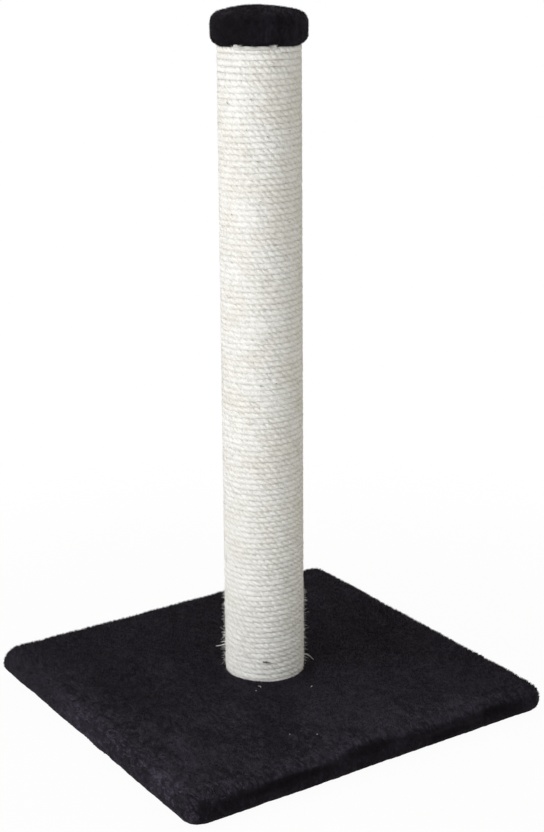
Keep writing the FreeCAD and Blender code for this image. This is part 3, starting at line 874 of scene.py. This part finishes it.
# %% Profile of the base cover
BASE_CORNER = 18 * MM
RIM_TOP = 16 * MM
RIM_BOTTOM = 8 * MM
HEM_WIDTH = 50 * MM
CLOTH = 3.4 * MM
BOLT_HOLE = 7 * MM
SEAT_GAP, SEAT_EDGE, SEAT_LIP, SEAT_DIP = 0.5 * MM, 1.0 * MM, 0.8 * MM, 0.3 * MM
SEAT_RADIUS = outside_radius + TAPER + SEAT_GAP
SWELL, SWELL_REACH = 2.1 * MM, 11 * MM
BASE_POINTS = 640
TOP_RINGS = 66
PILE = 1.7 * MM
skin_top = cover_high.z - PILE
skin_width = BASE_WIDTH - 2 * PILE * 0.8
skin_depth = BASE_DEPTH - 2 * PILE * 0.8
seat_floor = POST_BOTTOM - SEAT_DIP
cloth_bottom = board_top + SEAT_DIP


def base_profile():
    """Pairs of (inset from the base's edge, height), from the top rim to the hem's edge."""
    top, bottom = skin_top, cover_low.z
    pairs = []
    for step in range(13):
        angle = math.radians(90 * step / 12)
        pairs.append((RIM_TOP * (1 - math.sin(angle)), top - RIM_TOP * (1 - math.cos(angle))))
    pairs.append((0.0, (top - RIM_TOP + bottom + RIM_BOTTOM) / 2))
    for step in range(7):
        angle = math.radians(90 * step / 6)
        inset, drop = RIM_BOTTOM * (1 - math.cos(angle)), RIM_BOTTOM * math.sin(angle)
        pairs.append((inset, bottom + RIM_BOTTOM - drop))
    for step in range(1, 13):
        pairs.append((RIM_BOTTOM + (HEM_WIDTH - RIM_BOTTOM) * step / 12, bottom))
    return pairs


def at_inset(inset, height, count):
    """A ring that lies a distance inside the base's outline."""
    corner = max(BASE_CORNER - inset, 4 * MM)
    flat = rounded_ring(skin_width - 2 * inset, skin_depth - 2 * inset, corner, count)
    return np.column_stack([flat, np.full(count, height)])


def round_ring(like, radius, height):
    """A circle whose points lie in the same directions as those of a ring."""
    flat = like[:, :2] / np.linalg.norm(like[:, :2], axis=1, keepdims=True) * radius
    return np.column_stack([flat, np.full(len(like), height)])


def base_rings():
    """The rings, and for each one whether it carries pile."""
    edge = at_inset(RIM_TOP, skin_top, BASE_POINTS)
    rings = [round_ring(edge, radius, height) for radius, height in (
        (BOLT_HOLE, cloth_bottom), (BOLT_HOLE, seat_floor), (SEAT_RADIUS - SEAT_EDGE, seat_floor),
        (SEAT_RADIUS, seat_floor + SEAT_EDGE))]
    hairy = [0.0] * len(rings)
    seat = round_ring(edge, SEAT_RADIUS + SEAT_LIP, skin_top - SEAT_DIP)
    for step in range(TOP_RINGS):
        share = step / TOP_RINGS
        ring = seat * (1 - share) + edge * share
        from_seat = np.hypot(ring[:, 0], ring[:, 1]) - SEAT_RADIUS
        ring[:, 2] = skin_top + SWELL * ease(1 - from_seat / SWELL_REACH)
        rings.append(ring)
    rings[-TOP_RINGS][:, 2] -= SEAT_DIP
    rings += [at_inset(inset, height, BASE_POINTS) for inset, height in base_profile()]
    hairy += [1.0] * (len(rings) - len(hairy))
    inner_low, inner_high = cover_low.z + CLOTH, skin_top - CLOTH
    inner = [(HEM_WIDTH, inner_low), (CLOTH + 3 * MM, inner_low), (CLOTH, inner_low + 4 * MM),
             (CLOTH, inner_high - 12 * MM), (CLOTH + 4 * MM, inner_high - 3 * MM),
             (CLOTH + 12 * MM, inner_high)]
    rings += [at_inset(inset, height, BASE_POINTS) for inset, height in inner]
    rings.append(round_ring(edge, SEAT_RADIUS + 6 * MM, inner_high))
    rings.append(round_ring(edge, SEAT_RADIUS - 2 * MM, cloth_bottom))
    return rings, hairy + [0.0] * (len(rings) - len(hairy))


# %% Build the base cover
def ruffle(obj, hairy, count, coarse, fine):
    """Moves the points that carry pile in and out, in broad waves and in small tufts."""
    points = coordinates(obj)
    weight = np.repeat(hairy, count)
    active = weight > 0
    there = points[active]
    move = np.zeros(len(points))
    move[active] = coarse * (wavy(there, 34 * MM, 7.0) + 0.6 * wavy(there, 13 * MM, 8.0))
    move[active] += fine * (wavy(there, 3.6 * MM, 9.0) + 0.5 * wavy(there, 2.0 * MM, 10.0))
    set_coordinates(obj, points + point_normals(obj) * (move * weight)[:, None])


# Hollows in the front side: place along it, height, half length, half height, in millimetres.
# The plush's colour also paints shade into them.
HOLLOWS = (
    (-10.0, 22.5, 34.0, 4.5), (-100.0, 19.0, 46.0, 4.0), (136.0, 18.5, 17.0, 4.5),
    (80.0, 13.0, 26.0, 4.0),
)
HOLLOW_DEPTH = 1.8 * MM
FOLD_DEPTH, PLEAT_DEPTH = 2.6 * MM, 3.2 * MM


def crease(obj):
    """Draws the side in where the cloth is pulled under the board, most at the corners."""
    points = coordinates(obj)
    x, y = np.abs(points[:, 0]) * 2 / BASE_WIDTH, np.abs(points[:, 1]) * 2 / BASE_DEPTH
    outer = ease((np.maximum(x, y) - 0.955) / 0.03)
    height = points[:, 2]
    level = ease((height - cover_low.z) / (5 * MM)) * ease((skin_top - 3 * MM - height) / (7 * MM))
    corner = ease((x + y - 1.80) / 0.12)
    upright = points * (1.0, 1.0, 0.18)
    folds = np.minimum(wavy(upright, 17 * MM, 23.0), 0.1) * FOLD_DEPTH
    pleats = np.minimum(wavy(upright, 5.5 * MM, 24.0), 0.1) * PLEAT_DEPTH * corner
    inward = points * (1.0, 1.0, 0.0)
    inward /= np.linalg.norm(inward, axis=1, keepdims=True) + 1e-12
    points += inward * ((folds + pleats) * level * outer)[:, None]
    for place, middle, half_length, half_height in HOLLOWS:
        along = (points[:, 0] / MM - place) / half_length
        across = (height / MM - middle) / half_height
        front = points[:, 1] < -BASE_DEPTH / 2 + 12 * MM
        points[:, 1] += HOLLOW_DEPTH * np.exp(-along ** 2 - across ** 2) * front
    set_coordinates(obj, points)


rings, hairy = base_rings()
base_cover = ring_loft("base_cover", rings)
crease(base_cover)
ruffle(base_cover, hairy, BASE_POINTS, 0.50 * MM, 0.30 * MM)
bpy.ops.object.shade_smooth()
say(base_cover)

# %% [markdown]
# ## The cap
#
# The cap is a wooden disc with foam on it, covered with the same plush. Its cover is gathered
# under the disc, so its lower edge hangs in small waves over the first turns of rope. The skin
# goes from the middle of the crown over the shoulder, down the side and under the disc, and back
# inside.

# %% Profile of the cap
CAP_POINTS = 176
CROWN_RADIUS = 138.5 * MM
SHOULDER = 11.2 * MM
HEEL = 9.3 * MM
CAP_CLOTH = 3.0 * MM
CAP_OPENING = 20 * MM


def cap_profile(inset):
    """Pairs of (radius, height) from the crown's middle to the heel, drawn in by an inset."""
    radius, crown = CAP_RADIUS - inset, CROWN_RADIUS - inset
    shoulder, heel = SHOULDER - inset, HEEL - inset
    crown_centre = cap_high.z - inset - crown
    out = radius - shoulder
    shoulder_centre = crown_centre + math.sqrt((crown - shoulder) ** 2 - out ** 2)
    side_bottom = cap_low.z + inset + heel
    slope = math.asin(out / (crown - shoulder))
    steep = math.pi / 2 - slope
    pairs = []
    for step in range(1, 17):
        angle = slope * step / 16
        pairs.append((crown * math.sin(angle), crown_centre + crown * math.cos(angle)))
    for step in range(1, 8):
        angle = steep - steep * step / 7
        pairs.append((out + shoulder * math.cos(angle), shoulder_centre + shoulder * math.sin(angle)))
    for step in range(1, 6):
        pairs.append((radius, shoulder_centre + (side_bottom - shoulder_centre) * step / 5))
    for step in range(1, 8):
        angle = math.pi / 2 * step / 7
        pairs.append((radius - heel + heel * math.cos(angle), side_bottom - heel * math.sin(angle)))
    return pairs


def cap_rings():
    """The cap's rings, and whether each carries pile."""
    angles = 2 * math.pi * np.arange(CAP_POINTS) / CAP_POINTS
    outside = cap_profile(0.0)
    heel_end = CAP_RADIUS - HEEL
    for step in range(1, 8):
        outside.append((heel_end + (CAP_OPENING - heel_end) * step / 7, cap_low.z))
    inside = [(CAP_OPENING, disc_bottom - 0.4 * MM)] + cap_profile(CAP_CLOTH)[::-4]
    rings = [at_angle(radius, angles, height) for radius, height in outside + inside]
    return rings, [1.0] * len(outside) + [0.0] * len(inside)


rings, hairy = cap_rings()
cap_cover = ring_loft("cap_cover", rings, closed=False)


# %% Close the crown and gather the lower edge
def close_crown(obj, count):
    """Fills the first and the last ring of the loft, at the crown's middle and inside it."""
    edit(obj)
    bpy.ops.mesh.select_mode(type="VERT")
    total = len(obj.data.vertices)
    for first in (0, total - count):
        bpy.ops.mesh.select_all(action="DESELECT")
        mesh = bmesh.from_edit_mesh(obj.data)
        mesh.verts.ensure_lookup_table()
        for index in range(first, first + count):
            mesh.verts[index].select_set(True)
        mesh.select_flush(True)
        bmesh.update_edit_mesh(obj.data)
        bpy.ops.mesh.edge_face_add()
        bpy.ops.mesh.poke()
    face_outwards(obj)


# Waves of the cap's hem: place and half width in degrees, rise in millimetres.
HEM_WAVES = (
    (178.0, 14.0, -0.9), (206.0, 6.0, 2.4), (224.0, 9.0, 1.2), (240.0, 8.0, 0.8), (256.0, 4.5, 2.2),
    (290.0, 14.0, -0.7), (330.0, 15.0, 0.9), (20.0, 20.0, -0.8), (60.0, 12.0, 1.6),
    (105.0, 22.0, -0.8),
)
HEM_HEIGHT = 12 * MM
CROWN_SINK = 0.8 * MM


def gather(obj, weight):
    """Waves round the cap's lower edge, deepest at the hem, and a crown sunk for the pile."""
    points = coordinates(obj)
    angle = np.arctan2(points[:, 1], points[:, 0])
    around = at_angle(1.0, angle, 0.0)
    folds = wavy(around, 0.13, 11.0) + 0.5 * wavy(around, 0.05, 12.0)
    waves = sum(rise * np.exp(-(((np.degrees(angle) - place + 180) % 360 - 180) / width) ** 2)
                for place, width, rise in HEM_WAVES)
    low = ease((cap_low.z + HEM_HEIGHT - points[:, 2]) / HEM_HEIGHT) * weight
    outer = ease((np.linalg.norm(points[:, :2], axis=1) - 25 * MM) / (7 * MM))
    points[:, 2] += (0.5 + 0.7 * folds + waves) * MM * low * outer
    points[:, 2] -= CROWN_SINK * ease(1 - (cap_high.z - points[:, 2]) / (12 * MM))
    points[:, :2] *= (1 + 0.008 * folds * low * outer)[:, None]
    set_coordinates(obj, points)


def roughen(obj, weight):
    """Moves the cap's skin in and out, in broad waves and in small tufts."""
    points = coordinates(obj)
    move = 0.7 * MM * wavy(points, 26 * MM, 13.0) + 0.3 * MM * wavy(points, 3.2 * MM, 14.0)
    set_coordinates(obj, points + point_normals(obj) * (move * weight)[:, None])


close_crown(cap_cover, CAP_POINTS)
cap_weight = np.concatenate([np.repeat(hairy, CAP_POINTS), [1.0, 0.0]])
gather(cap_cover, cap_weight)
roughen(cap_cover, cap_weight)
bpy.ops.object.shade_smooth()
say(cap_cover)

# %% [markdown]
# ## Pile
#
# Plush is a cloth with thousands of short upright threads that stand in tufts. The skins above are
# uneven like a pile seen from far off. Real tufts on top of them break up the edges and catch the
# light. Each is a slim pyramid of four faces, so that there can be enough of them to cover the
# cloth. They lean the way the pile was last stroked, which differs from patch to patch. A loft's
# faces come in another order in each run, so they are sorted before the tufts are drawn.

# %% Tufts of pile
TUFT_ANGLES = (0.0, 2.094, 4.189)
TUFT_FACES = ((0, 1, 3), (1, 2, 3), (2, 0, 3), (2, 1, 0))
TUFT_ROOT = 0.7 * MM
STROKE_SIZE = 38 * MM
BASE_LEAN = (0.15, -0.25, 0.0)


def pile(name, obj, count, length, width, lean, keep):
    """Tufts on a skin, where keep() says so: upright, and leaning as the nap was stroked."""
    points = coordinates(obj)
    faces = [p for p in obj.data.polygons if keep(p.center, p.normal)]
    faces.sort(key=lambda p: (-len(p.vertices), sorted(p.vertices)))
    areas = np.array([p.area for p in faces])
    chosen = rng.choice(len(faces), count, p=areas / areas.sum())
    roots = np.empty((count, 3))
    normals = np.empty((count, 3))
    for row, index in enumerate(chosen):
        face = faces[index]
        weights = rng.dirichlet(np.ones(len(face.vertices)))
        roots[row] = weights @ points[sorted(face.vertices)]
        normals[row] = face.normal
    strokes = [wavy(roots, STROKE_SIZE, seed) for seed in (15.0, 16.0)]
    stroke = np.column_stack([*strokes, np.zeros(count)])
    tips = normals + np.array(lean) + 0.8 * stroke + rng.normal(0, 0.30, (count, 3))
    tips /= np.linalg.norm(tips, axis=1, keepdims=True)
    upward = 0.62 + 0.38 * np.clip(normals[:, 2], 0, 1)
    reach = length * (rng.uniform(0.55, 1.1, count) * upward)[:, None]
    across = np.cross(tips, rng.normal(0, 1, (count, 3)))
    across /= np.linalg.norm(across, axis=1, keepdims=True)
    upright = np.cross(tips, across)
    foot = roots - normals * TUFT_ROOT
    corners = [foot + width * (across * math.cos(a) + upright * math.sin(a)) for a in TUFT_ANGLES]
    corners.append(roots + tips * reach)
    first = np.arange(count)[:, None] * 4
    faces = np.concatenate([first + np.array(face) for face in TUFT_FACES])
    obj = mesh_object(name, np.stack(corners, axis=1).reshape(-1, 3), faces.tolist())
    bpy.ops.object.shade_smooth()
    return say(obj)


def outside_base(centre, normal):
    """True on the base cover's top, rim and side, away from the post."""
    at_side = (abs(centre.x) > BASE_WIDTH / 2 - 5 * MM or abs(centre.y) > BASE_DEPTH / 2 - 5 * MM)
    on_top = normal.z > 0.2 and centre.z > skin_top - RIM_TOP
    away = math.hypot(centre.x, centre.y) > SEAT_RADIUS + 2.0 * MM
    return away and (on_top or (at_side and normal.z > -0.3))


def base_half(side):
    """Keeps the base's tufts on one side of the middle."""
    return lambda centre, normal: centre.x * side >= 0 and outside_base(centre, normal)


def outside_cap(centre, normal):
    """True on the cap cover's outside."""
    radius = math.hypot(centre.x, centre.y)
    on_side = radius > 32 * MM and normal.x * centre.x + normal.y * centre.y > -0.001
    return on_side or (normal.z > 0.3 and centre.z > cap_high.z - 9 * MM)


def cap_hem(centre, normal):
    """True round the cap's lower edge."""
    return math.hypot(centre.x, centre.y) > 35 * MM and normal.z < -0.25


base_pile = [pile(f"base_pile_{end}", base_cover, 32000, 2.7 * MM, 0.52 * MM, BASE_LEAN,
                  base_half(side)) for end, side in (("left", -1), ("right", 1))]
cap_pile = [pile("cap_pile", cap_cover, 10000, 2.2 * MM, 0.40 * MM, (0.0, 0.0, -0.5), outside_cap),
            pile("cap_fringe", cap_cover, 900, 2.4 * MM, 0.26 * MM, (0.0, 0.0, -0.3), cap_hem)]

# %% Plush finish
CAMERA_TURN = -CAMERA_AZIMUTH


def base_nap_and_painted_light(finish, mottled, licks, swirl):
    """How light the base's plush is: patches of nap at random, painted light on the front half and
    its rim, and painted shade on the front corner, the sides below the top and the hollows.
    """
    x, y, z = finish.split(finish.place())
    # Painted light: the front half and, more, its rim are painted lighter, with streaks of nap in the
    # rim's light.
    near = finish.between(x * -0.55 + y * -0.83, -0.06, 0.16)
    edge = finish.maths("MAXIMUM", x.size() * (2 / BASE_WIDTH), y.size() * (2 / BASE_DEPTH))
    band = finish.between(edge, 0.70, 0.90) * near
    crest = finish.between(edge, 0.80, 0.91) * near
    brushed = finish.between(licks, 0.50, 0.64) * (band * 0.3 + crest * 0.7)
    brushed = brushed * finish.between(swirl, 0.40, 0.55)
    # Painted shade: the front corner is painted darker.
    front_corner = finish.between(x * -0.5 + y * -0.5, 0.165, 0.19)
    amount = 0.46 - near * 0.16 + mottled * (0.32 + near * 0.38)
    amount = amount * (0.40 + near * 0.34 + band * 0.04 - front_corner * 0.25) + brushed * 0.75
    # Painted shade: the sides below the top are painted darker, less near the left and right ends.
    left_end = 1 - finish.between(x, 6 * MM - BASE_WIDTH / 2, 14 * MM - BASE_WIDTH / 2)
    right_end = finish.between(x, BASE_WIDTH / 2 - 38 * MM, BASE_WIDTH / 2 - 14 * MM)
    shade = left_end * 0.45 + right_end * 0.40 + 0.22
    lit = finish.between(z, skin_top - 8 * MM, skin_top - 2 * MM)
    amount = amount * (shade + lit * (1 - shade))
    # Painted shade: the hollows in the front side are painted darker.
    front = 1 - finish.between(y, 8 * MM - BASE_DEPTH / 2, 16 * MM - BASE_DEPTH / 2)
    for place, middle, half_length, half_height in HOLLOWS:
        along = (x - place * MM) * (1 / (half_length * MM))
        across = (z - middle * MM) * (1 / (half_height * MM))
        hollow = (1 - finish.between(along * along + across * across, 0.2, 1.6)) * front
        amount = amount * (1 - hollow * 0.85)
    return amount


def cap_nap_and_painted_light(finish, mottled):
    """How light the cap's plush is: patches of nap at random, and painted light on its top and at its
    right, seen from the camera.
    """
    x, y, z = finish.split(finish.place())
    # Painted light: the cap's top and its right, seen from the camera, are painted lighter.
    across = x * math.cos(CAMERA_AZIMUTH) + y * math.sin(CAMERA_AZIMUTH)
    right = finish.between(across, -0.035, 0.025)
    top = finish.between(z, cap_high.z - 11 * MM, cap_high.z - 2 * MM)
    return (0.15 + mottled * 0.85) * (0.08 + right * 0.42 + top * (1 - right * 0.42))


def plush(name, deep, worn, sheen, on_base):
    """Black plush: nearly black in the pile, a violet grey in worn patches and where light is painted
    in.
    """
    finish = Finish(name, sheen_weight=sheen, sheen_roughness=0.4, sheen_tint=(0.80, 0.67, 0.86, 1.0),
                    specular_ior_level=0.1)
    place = finish.place()
    stroked = finish.scaled(place, (1.0, 0.45, 0.6), CAMERA_TURN)
    strokes = finish.noise(stroked, 42 * MM, 3.0, 0.6)
    swirl = finish.noise(stroked, 8 * MM, 4.0, 0.6, 1.8)
    fibres = finish.noise(place, 1.6 * MM, 2.0, 0.6)
    mottled = finish.between(strokes * 0.42 + swirl * 0.46 + fibres * 0.12, 0.40, 0.64)
    if on_base:
        combed = finish.scaled(place, (1.0, 0.30, 0.6), CAMERA_TURN + 0.5)
        licks = finish.noise(combed, 3.2 * MM, distortion=2.2)
        amount = base_nap_and_painted_light(finish, mottled, licks, swirl)
    else:
        amount = cap_nap_and_painted_light(finish, mottled)
    colour = finish.blend(amount, deep, worn)
    return finish.dress(colour, 0.95 - mottled * 0.1, fibres + swirl, 0.5 * MM)


# Each pair is the pile's own black, then the violet grey of worn nap and of painted light.
BASE_BLACKS = (0.0047, 0.0037, 0.0050), (0.056, 0.049, 0.071)
CAP_BLACKS = (0.0032, 0.0024, 0.0034), (0.038, 0.032, 0.045)
base_plush = plush("base_plush_finish", *BASE_BLACKS, sheen=0.035, on_base=True)
base_plush.give(base_cover, *base_pile)
cap_plush = plush("cap_plush_finish", *CAP_BLACKS, sheen=0.020, on_base=False)
cap_plush.give(cap_cover, *cap_pile)

# %% Lint on the plush
# Bits of rope fibre that have dropped on the base: place and length, in millimetres.
LINT = (
    (-31.9, -40.0, 4.4), (9.0, -68.1, 3.2), (-40.2, -45.6, 1.2), (-62.2, -135.5, 0.7),
    (-42.2, -149.2, 1.2),
)


def lint():
    t = np.array((-0.5, -0.15, 0.2, 0.5))
    paths = []
    for x, y, length in LINT:
        turn = rng.uniform(0, math.pi)
        bit = at_angle(length * t * MM, turn + t, cover_high.z + (0.9 - 0.5 * t * t) * MM)
        paths.append(bit + np.array((x * MM, y * MM, 0.0)))
    return say(threads("base_lint", paths, 0.30 * MM, sides=5))


dropped_lint = lint()
fibre_finish.give(dropped_lint)
rope_dressing.append(dropped_lint)

# %% [markdown]
# ## The liner under the base
#
# Thin black non-woven cloth closes the underside. It is pressed with a fine grid of dots, laps
# over the hem where it is stapled, and lies up against the board in the middle, with a hole for
# the bolt.

# %% Liner
LINER_CORNER = 10 * MM
LINER_POINTS = 320
LINER_HOLE = 19 * MM
LINER_THICKNESS = 0.6 * MM
LINER_SLOPE = 5.4 * MM
SAG_INSET, SAG_FADE = 60 * MM, 20 * MM


def liner_cloth():
    """A sheet with a flat rim under the hem, a step up to the board, and a hole in the middle."""
    width, depth = liner_high.x - liner_low.x, liner_high.y - liner_low.y
    rim_bottom = liner_low.z + LINER_THICKNESS / 2
    panel = liner_high.z - LINER_THICKNESS / 2
    fold = BASE_WIDTH / 2 - HEM_WIDTH
    inset_to_fold = width / 2 - fold + 0.4 * MM

    def level(inset, height):
        flat = rounded_ring(width - 2 * inset, depth - 2 * inset, LINER_CORNER, LINER_POINTS)
        return np.column_stack([flat, np.full(LINER_POINTS, height)])

    rim = [level(inset_to_fold * step / 8, rim_bottom) for step in range(9)]
    rise = panel - rim_bottom
    slope = [level(inset_to_fold + LINER_SLOPE * share, rim_bottom + rise * ease(share))
             for share in (0.25, 0.5, 0.75, 1.0)]
    edge, hole = slope[-1], round_ring(slope[-1], LINER_HOLE, panel)
    middle = [edge * (1 - step / 26) + hole * (step / 26) for step in range(1, 27)]
    cloth = ring_loft("underside_liner", rim + slope + middle, closed=False)
    points = coordinates(cloth)
    half = np.array((BASE_WIDTH, BASE_DEPTH)) / 2
    inside = ease(np.min(half - SAG_INSET - np.abs(points[:, :2]), axis=1) / SAG_FADE)
    sag = np.abs(wavy(points * (1.0, 0.35, 1.0), 32 * MM, 17.0)) * 1.4 * MM + 0.3 * MM
    points[:, 2] -= sag * inside
    points[:, 2] -= 0.15 * MM * (1 - inside) * wavy(points, 9 * MM, 18.0)
    set_coordinates(cloth, points)
    bpy.ops.object.modifier_add(type="SOLIDIFY")
    cloth.modifiers[0].thickness = LINER_THICKNESS
    cloth.modifiers[0].offset = 0.0
    bpy.ops.object.modifier_apply(modifier=cloth.modifiers[0].name)
    face_outwards(cloth)
    bpy.ops.object.shade_smooth_by_angle(angle=math.radians(40))
    return say(cloth)


def liner_finish():
    finish = Finish("liner_cloth")
    place = finish.place()
    pressed = finish.between(finish.cells(place, 1.9 * MM, randomness=0.0), 0.18, 0.34)
    fibres = finish.noise(place, 0.7 * MM, 4.0, 0.7)
    clouds = fibres * 0.5 + finish.noise(place, 30 * MM, 3.0) * 0.5
    colour = finish.blend(clouds, (0.018, 0.018, 0.019), (0.060, 0.060, 0.062))
    return finish.dress(colour, 0.65 + pressed * 0.25, pressed + fibres * 0.4, 0.15 * MM)


liner = liner_cloth()
liner_finish().give(liner)

# %% [markdown]
# ## Finishes for what the construction shows
#
# Board, card, steel, rubber and foam keep the shapes of the construction, and each gets its own
# finish.

# %% Wood, card, steel, rubber and foam
def chipboard():
    finish = Finish("chipboard")
    place = finish.place()
    chips = finish.cells(finish.scaled(place, (1.0, 0.55, 1.6)), 4.2 * MM, output="Color")
    grain = finish.noise(place, 1.2 * MM, 4.0, 0.7)
    darker = finish.blend(chips * 2, (0.42, 0.30, 0.18), (0.60, 0.46, 0.30))
    tone = finish.blend(chips * 2 - 1, darker, (0.74, 0.61, 0.43))
    colour = finish.blend(grain * 0.4, tone, (0.40, 0.28, 0.17))
    return finish.dress(colour, 0.7 + grain * 0.2, grain, 0.25 * MM)


def plywood():
    finish = Finish("plug_wood")
    place = finish.place()
    plies = finish.node("ShaderNodeTexWave", {"bands_direction": "Z"}, {
        "Vector": place, "Scale": 1 / (14 * MM), "Distortion": 1.5, "Detail": 2.0})
    grain = finish.noise(finish.scaled(place, (0.12, 1.0, 1.0)), 1.4 * MM, 4.0, 0.6)
    tone = finish.blend(plies, (0.52, 0.37, 0.22), (0.72, 0.56, 0.37))
    colour = finish.blend(grain * 0.35, tone, (0.40, 0.27, 0.15))
    return finish.dress(colour, 0.55 + grain * 0.2, grain, 0.15 * MM)


def card():
    finish = Finish("tube_card")
    place = finish.place()
    fibres = finish.noise(finish.scaled(place, (1.0, 1.0, 0.35)), 1.3 * MM, 4.0, 0.7)
    clouds = fibres * 0.5 + finish.noise(place, 18 * MM, 3.0) * 0.5
    colour = finish.blend(clouds, (0.36, 0.26, 0.17), (0.58, 0.45, 0.31))
    return finish.dress(colour, 0.8 + fibres * 0.15, fibres, 0.12 * MM)


def steel(name, bright, dull):
    finish = Finish(name, metallic=1.0)
    place = finish.place()
    brushed = finish.noise(finish.scaled(place, (1.0, 6.0, 1.0)), 0.8 * MM, 3.0, 0.6)
    worn = finish.between(finish.noise(place, 5 * MM, 3.0, 0.6), 0.45, 0.75)
    colour = finish.blend(worn, bright, dull)
    return finish.dress(colour, 0.26 + brushed * 0.16 + worn * 0.15, brushed, 0.03 * MM)


def rubber():
    finish = Finish("foot_rubber")
    place = finish.place()
    grains = finish.noise(place, 0.8 * MM, 3.0, 0.6)
    dust = finish.between(finish.noise(place, 7 * MM, 3.0, 0.6), 0.5, 0.75)
    colour = finish.blend(dust * 0.5, (0.030, 0.030, 0.031), (0.10, 0.095, 0.09))
    return finish.dress(colour, 0.65 + grains * 0.25, grains, 0.1 * MM)


def foam():
    finish = Finish("cap_foam")
    cells = finish.cells(finish.place(), 1.1 * MM, "DISTANCE_TO_EDGE")
    walls = finish.between(cells, 0.02, 0.14)
    # Painted shade: the sunken middles of the cells are painted darker than their edges.
    colour = finish.blend(walls, (0.86, 0.83, 0.66), (0.62, 0.58, 0.42))
    return finish.dress(colour, 0.9 + walls * 0.08, 1 - walls, 0.3 * MM)


nodes = frame["nodes"]
chipboard().give(nodes["base_board"])
plywood().give(nodes["bottom_plug"], nodes["top_plug"], nodes["cap_disc"])
card().give(nodes["post_tube"])
zinc = ("base_bolt", "base_washer", "bottom_tee_nut", "top_tee_nut", "cap_stud")
wire = ("base_staples", "liner_staples", "rope_staples", "cap_staples", "bottom_plug_nails",
        "top_plug_nails")
steel("zinc_steel", (0.66, 0.67, 0.69), (0.48, 0.48, 0.47)).give(*(nodes[name] for name in zinc))
steel("staple_steel", (0.70, 0.70, 0.71), (0.52, 0.51, 0.50)).give(*(nodes[name] for name in wire))
rubber().give(*(
    nodes[f"foot_{end}_{side}"] for end in ("front", "back") for side in ("left", "right")))
foam().give(nodes["cap_foam"])

# %% [markdown]
# ## Tie each piece to the frame
#
# The post doesn't move, so everything rides on its one body. The plain solids that the soft
# pieces stand for are hidden.

# %% Ride and replace
for piece in rope_pieces + rope_dressing:
    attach(piece, "root")
for piece in [base_cover, cap_cover] + base_pile + cap_pile:
    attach(piece, "root")
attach(liner, "root")
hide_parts("rope_turns_bottom")
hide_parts("rope_wrap")
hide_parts("rope_turns_top")
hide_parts("base_plush")
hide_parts("cap_plush")
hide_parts("base_liner")
